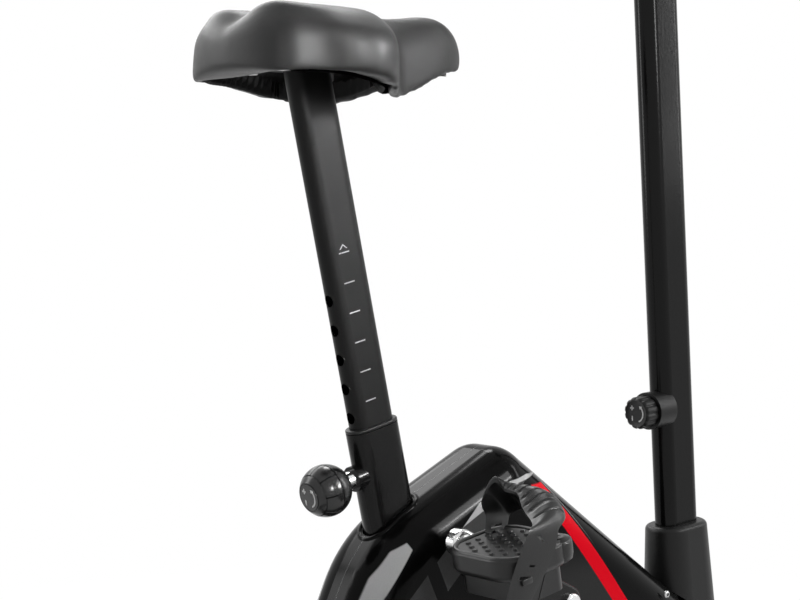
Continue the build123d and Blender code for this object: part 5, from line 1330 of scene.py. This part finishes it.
# %% [markdown]
# ## Console
# A glossy frame holds a grey display. Its figures are seven-segment digits, each segment a thin
# plate: time above, speed and pulse below, all at zero. The buttons carry an arrow up, a dot and
# an arrow down.

# %% Display
FACE_TILT = radians(35)
console_out = Vector((-cos(FACE_TILT), 0, sin(FACE_TILT)))
console_right = Vector((0, -1, 0))
console_place = Matrix.Translation((245.5 * MM, 0, 1180.5 * MM)) @ Matrix(
    (console_right, console_out.cross(console_right), console_out)
).transposed().to_4x4()
LENS_LOW, LENS_HIGH = (-64 * MM, -10.9 * MM), (64 * MM, 55.1 * MM)
LENS_DEEP = 3 * MM
BEZEL = 9 * MM
SCREEN_DEEP = 1.2 * MM


def console_box(inset):
    (left, low), (right, high) = LENS_LOW, LENS_HIGH
    left, low, right, high = left + inset, low + inset, right - inset, high - inset
    corners = [(left, low), (right, low), (right, high), (left, high)]
    return rounded(corners, max(1.5 * MM, 6 * MM - inset))


shape = bmesh.new()
steps = (
    (0, -LENS_DEEP), (0, -0.3 * MM), (0.5 * MM, 0.4 * MM), (BEZEL - 1 * MM, 0.4 * MM),
    (BEZEL, -0.4 * MM), (BEZEL, -LENS_DEEP),
)
skinned(shape, [
    [console_place @ Vector((point.x, point.y, height)) for point in console_box(inset)]
    for inset, height in steps
], around=True)
bezel = settle(shape, "console_bezel", "frame", "knob_plastic", 30.0)
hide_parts("console_lens")
shape = bmesh.new()
corners = [tuple(point) for point in console_box(BEZEL - 0.5 * MM)]
plate(shape, corners, -LENS_DEEP, -SCREEN_DEEP, console_place)
settle(shape, "console_screen", "frame", "screen_grey")

# %% [markdown]
# A digit's segments are named by where they sit: three bars across and four upright.

# %% Digits
SEGMENTS = {
    "top": ((0, 1), (0.5, 0.09)), "middle": ((0, 0), (0.5, 0.09)), "foot": ((0, -1), (0.5, 0.09)),
    "left_up": ((-0.5, 0.5), (0.09, 0.4)), "right_up": ((0.5, 0.5), (0.09, 0.4)),
    "left_low": ((-0.5, -0.5), (0.09, 0.4)), "right_low": ((0.5, -0.5), (0.09, 0.4)),
}
ZERO = ("top", "foot", "left_up", "right_up", "left_low", "right_low")
INK_HIGH = 0.15 * MM
SLIM = 0.8


def inked(shape, corners):
    """A thin plate on the screen."""
    plate(shape, corners, -SCREEN_DEEP, -SCREEN_DEEP + INK_HIGH, console_place)


def zero_digit(shape, x, y, size):
    for name in ZERO:
        (off_x, off_y), (half_x, half_y) = SEGMENTS[name]
        middle = (x + off_x * size, y + off_y * size)
        inked(shape, oblong(*middle, half_x * SLIM * size, half_y * size))


def dot(shape, x, y, half):
    inked(shape, oblong(x, y, half, half))


shape = bmesh.new()
for x in (-30, -12, 12, 30):
    zero_digit(shape, x * MM, 35 * MM, 8 * MM)
for y in (31, 39):
    dot(shape, 0, y * MM, 1.1 * MM)
for x in (-40, -28, 16, 28, 40):
    zero_digit(shape, x * MM, 9 * MM, 5 * MM)
dot(shape, -34 * MM, 4 * MM, 0.8 * MM)
for x in (-48, 48):
    dot(shape, x * MM, 21 * MM, 0.6 * MM)
settle(shape, "console_digits", "frame", "screen_ink")

# %% [markdown]
# The signs on the buttons ride on the buttons, so they go in with them.

# %% Button signs
BUTTON_TOP = 2.5 * MM
BUTTON_ROW = 40
UP = [(-3.2, -2.2), (3.2, -2.2), (0, 3.2)]
ROUND = [(2.6 * cos(radians(22.5 * k)), 2.6 * sin(radians(22.5 * k))) for k in range(16)]
DOWN = [(-x, -y) for x, y in UP]
for name, middle, sign in (("left", -38, UP), ("middle", 0, ROUND), ("right", 38, DOWN)):
    shape = bmesh.new()
    corners = [((x + middle) * MM, (y - BUTTON_ROW) * MM) for x, y in sign]
    plate(shape, corners, BUTTON_TOP - 0.1 * MM, BUTTON_TOP + 0.2 * MM, console_place)
    settle(shape, f"{name}_button_sign", f"{name}_button", "screen_ink")

# %% [markdown]
# ## Tension knob
# The brake's knob is fluted for wet hands. A spun profile gives its body, bored for the spindle;
# points on its side are then drawn in and out in twelve waves. The same turning signs stand on
# its end.

# %% Fluted knob
FLUTES = 12
FLUTE_DEEP = 1.3 * MM
tension_place = frame_at(Vector(joints["tension_turn"]["pos_m"]), joints["tension_turn"]["axis"])
profile = in_mm([(0, 10.7), (5.08, 10.7), (5.08, 0.5), (17.4, 0.5), (18.6, 1.2)])
profile += [(18.9 * MM, (2.0 + 1.5 * k) * MM) for k in range(11)]
profile += in_mm([(18.4, 18.4), (17.2, 19.5), (15.6, 19.9), (14.8, 19.3), (9, 19.1), (0, 19.1)])
shape = bmesh.new()
turned(shape, profile, 144, Matrix.Identity(4))
for vert in shape.verts:
    radius = hypot(vert.co.x, vert.co.y)
    if radius > 17 * MM and vert.co.z > 1 * MM:
        wave = 0.5 + 0.5 * cos(FLUTES * atan2(vert.co.y, vert.co.x))
        vert.co.x *= 1 - FLUTE_DEEP * wave**3 / radius
        vert.co.y *= 1 - FLUTE_DEEP * wave**3 / radius
bmesh.ops.transform(shape, matrix=tension_place, verts=shape.verts)
dial = settle(shape, "fluted_knob", "tension_knob", "moulded_plastic", 40.0)
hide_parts("tension_knob")
shape = bmesh.new()
turning_signs(shape, 10 * MM, 19.0 * MM, tension_place)
settle(shape, "tension_signs", "tension_knob", "white_ink")

# %% [markdown]
# ## End caps
# The caps on the stabilisers have two raised bands each, so that they can be gripped to level the
# bike. A band is a small profile spun about the tube.

# %% Cap bands
CAP_PLACES = ((-442 * MM, "rear"), (400 * MM, "front"))
CAP_HIGH = 42 * MM
for x, name in CAP_PLACES:
    shape = bmesh.new()
    for side in (-1, 1):
        for start in (209, 240):
            band = [(31.0, start), (32.6, start + 0.4), (33.2, start + 1.2), (33.2, start + 4.8),
                    (32.6, start + 5.6), (31.0, start + 6)]
            place = frame_at((x, 0, CAP_HIGH), (0, side, 0), Vector((0, 0, 1)))
            turned(shape, in_mm(band), 64, place)
    settle(shape, f"{name}_cap_bands", "frame", "moulded_plastic", 40.0)

# %% [markdown]
# ## Stage, light and camera
# The picture is a studio shot on white. The floor is pale, keeps the shadow and fades into the
# white behind, which is the world as the camera, mirrors and glass see it. Light that falls on
# the bike from the world is much weaker, so that black stays black.

# %% Floor
FLOOR_HALF = 2.2
FLOOR_GLOW = 0.4
FADE_FROM, FADE_TO = 0.7, 1.6


def seen_rays(finish):
    """1 for what the camera, a mirror or glass sees, 0 for light that falls on the bike."""
    path = finish.node("LightPath").socket.node
    kinds = ("Camera", "Glossy", "Transmission")
    camera, mirror, glass = (Wire(finish, path.outputs[f"Is {kind} Ray"]) for kind in kinds)
    return camera.either(mirror).either(glass)


shape = bmesh.new()
bmesh.ops.create_circle(shape, cap_ends=True, segments=96, radius=FLOOR_HALF)
mesh = bpy.data.meshes.new("floor")
shape.to_mesh(mesh)
shape.free()
floor = bpy.data.objects.new("floor", mesh)
bpy.context.collection.objects.link(floor)
floor_finish = Finish(
    "floor", {"Roughness": 0.9, "Specular IOR Level": 0.1, "Base Color": grey(0.86)}
)
seen = seen_rays(floor_finish)
glow = floor_finish.node("Emission", inputs={"Color": grey(1.0), "Strength": seen * FLOOR_GLOW})
white = floor_finish.node("Emission", inputs={"Color": grey(1.0), "Strength": seen})
lit = Wire(floor_finish, floor_finish.shader.outputs[0])
both = floor_finish.node("AddShader", inputs={0: lit, 1: glow})
x, y, z = floor_finish.axes()
reach = floor_finish.node("Math", {"operation": "SQRT"}, {0: x * x + y * y})
far = reach.rise(FADE_FROM, FADE_TO)
faded = floor_finish.node("MixShader", inputs={0: far, 1: both, 2: white})
output = floor_finish.tree.nodes["Material Output"]
floor_finish.tree.links.new(faded.socket, output.inputs["Surface"])
mesh.materials.append(floor_finish.material)
floor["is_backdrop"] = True
print(f"floor of {2 * FLOOR_HALF} m made")

# %% [markdown]
# The world is built with the same class as the finishes: only its shader differs.


# %% World
class Backdrop(Finish):
    """The world, with the arithmetic of a finish."""

    def __init__(self, world):
        world.use_nodes = True
        self.tree = world.node_tree
        self.shader = self.tree.nodes["Background"]


WORLD_LIGHT = 0.22
world = bpy.data.worlds.new("studio")
bpy.context.scene.world = world
backdrop = Backdrop(world)
backdrop.feed(backdrop.shader.inputs["Color"], grey(1.0))
level = seen_rays(backdrop) * (1 - WORLD_LIGHT) + WORLD_LIGHT
backdrop.feed(backdrop.shader.inputs["Strength"], level)
print("world made")

# %% [markdown]
# A black bike shows its lamps more than its colour. So each soft lamp stands where a rounded
# surface mirrors it: two narrow ones draw the upright streaks on the saddle, the others edge the
# post, the shroud's rim, the knobs and the straps.

# %% Lamps
BIKE_AIM = Vector((-0.1, 0.0, 0.6))
SADDLE_AIM = Vector((-0.27, -0.06, 0.87))


def soft_lamp(name, place, size, power, aim=BIKE_AIM, spread=180.0):
    """A lamp behind a diffuser; a grid over it narrows the spread of its light."""
    lamp = bpy.data.lights.new(name, "AREA")
    lamp.shape = "RECTANGLE"
    lamp.size, lamp.size_y = size
    lamp.energy = power
    lamp.spread = radians(spread)
    holder = bpy.data.objects.new(name, lamp)
    holder.location = place
    holder.rotation_euler = (aim - Vector(place)).to_track_quat("-Z", "Y").to_euler()
    bpy.context.collection.objects.link(holder)


soft_lamp("saddle_lamp", (-0.62, -2.4, 1.4), (0.26, 0.7), 1.5, SADDLE_AIM, 16.0)
soft_lamp("nose_lamp", (0.95, -2.0, 1.6), (0.24, 0.7), 1.6, SADDLE_AIM, 16.0)
soft_lamp("side_lamp", (0.98, -2.25, 1.6), (0.4, 1.2), 30.0)
soft_lamp("front_lamp", (2.05, -1.2, 1.5), (0.3, 1.4), 14.0)
soft_lamp("far_lamp", (-0.4, 2.1, 2.1), (3.2, 0.9), 38.0)
soft_lamp("high_lamp", (0.9, 1.3, 2.7), (0.6, 0.6), 18.0)
soft_lamp("rear_lamp", (-1.75, 1.9, 1.1), (0.6, 1.2), 12.0)
print("seven lamps placed")

# %% [markdown]
# The camera stands behind the bike on its right, at the height of the post's marks, and looks
# slightly down.

# %% Camera
CAMERA_AT = Vector((-1198.8, -1233.3, 666.8)) * MM
CAMERA_TURN = radians(40.579)
CAMERA_DIP = radians(2.136)
lens = bpy.data.cameras.new("camera")
lens.sensor_width = 36.0
lens.lens = 72.0
camera = bpy.data.objects.new("camera", lens)
camera.location = CAMERA_AT
camera.rotation_euler = (pi / 2 - CAMERA_DIP, 0.0, -CAMERA_TURN)
bpy.context.collection.objects.link(camera)
bpy.context.scene.camera = camera
bpy.context.scene.view_settings.view_transform = "Standard"
print("camera at", [round(v, 3) for v in CAMERA_AT])

# %% [markdown]
# ## Last measure
# The dressed bike must not outgrow the solid one, so both boxes are given side by side as the
# last result.

# %% Both sizes, side by side
{"solid": solid_box, "dressed": [list(corner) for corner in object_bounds()]}
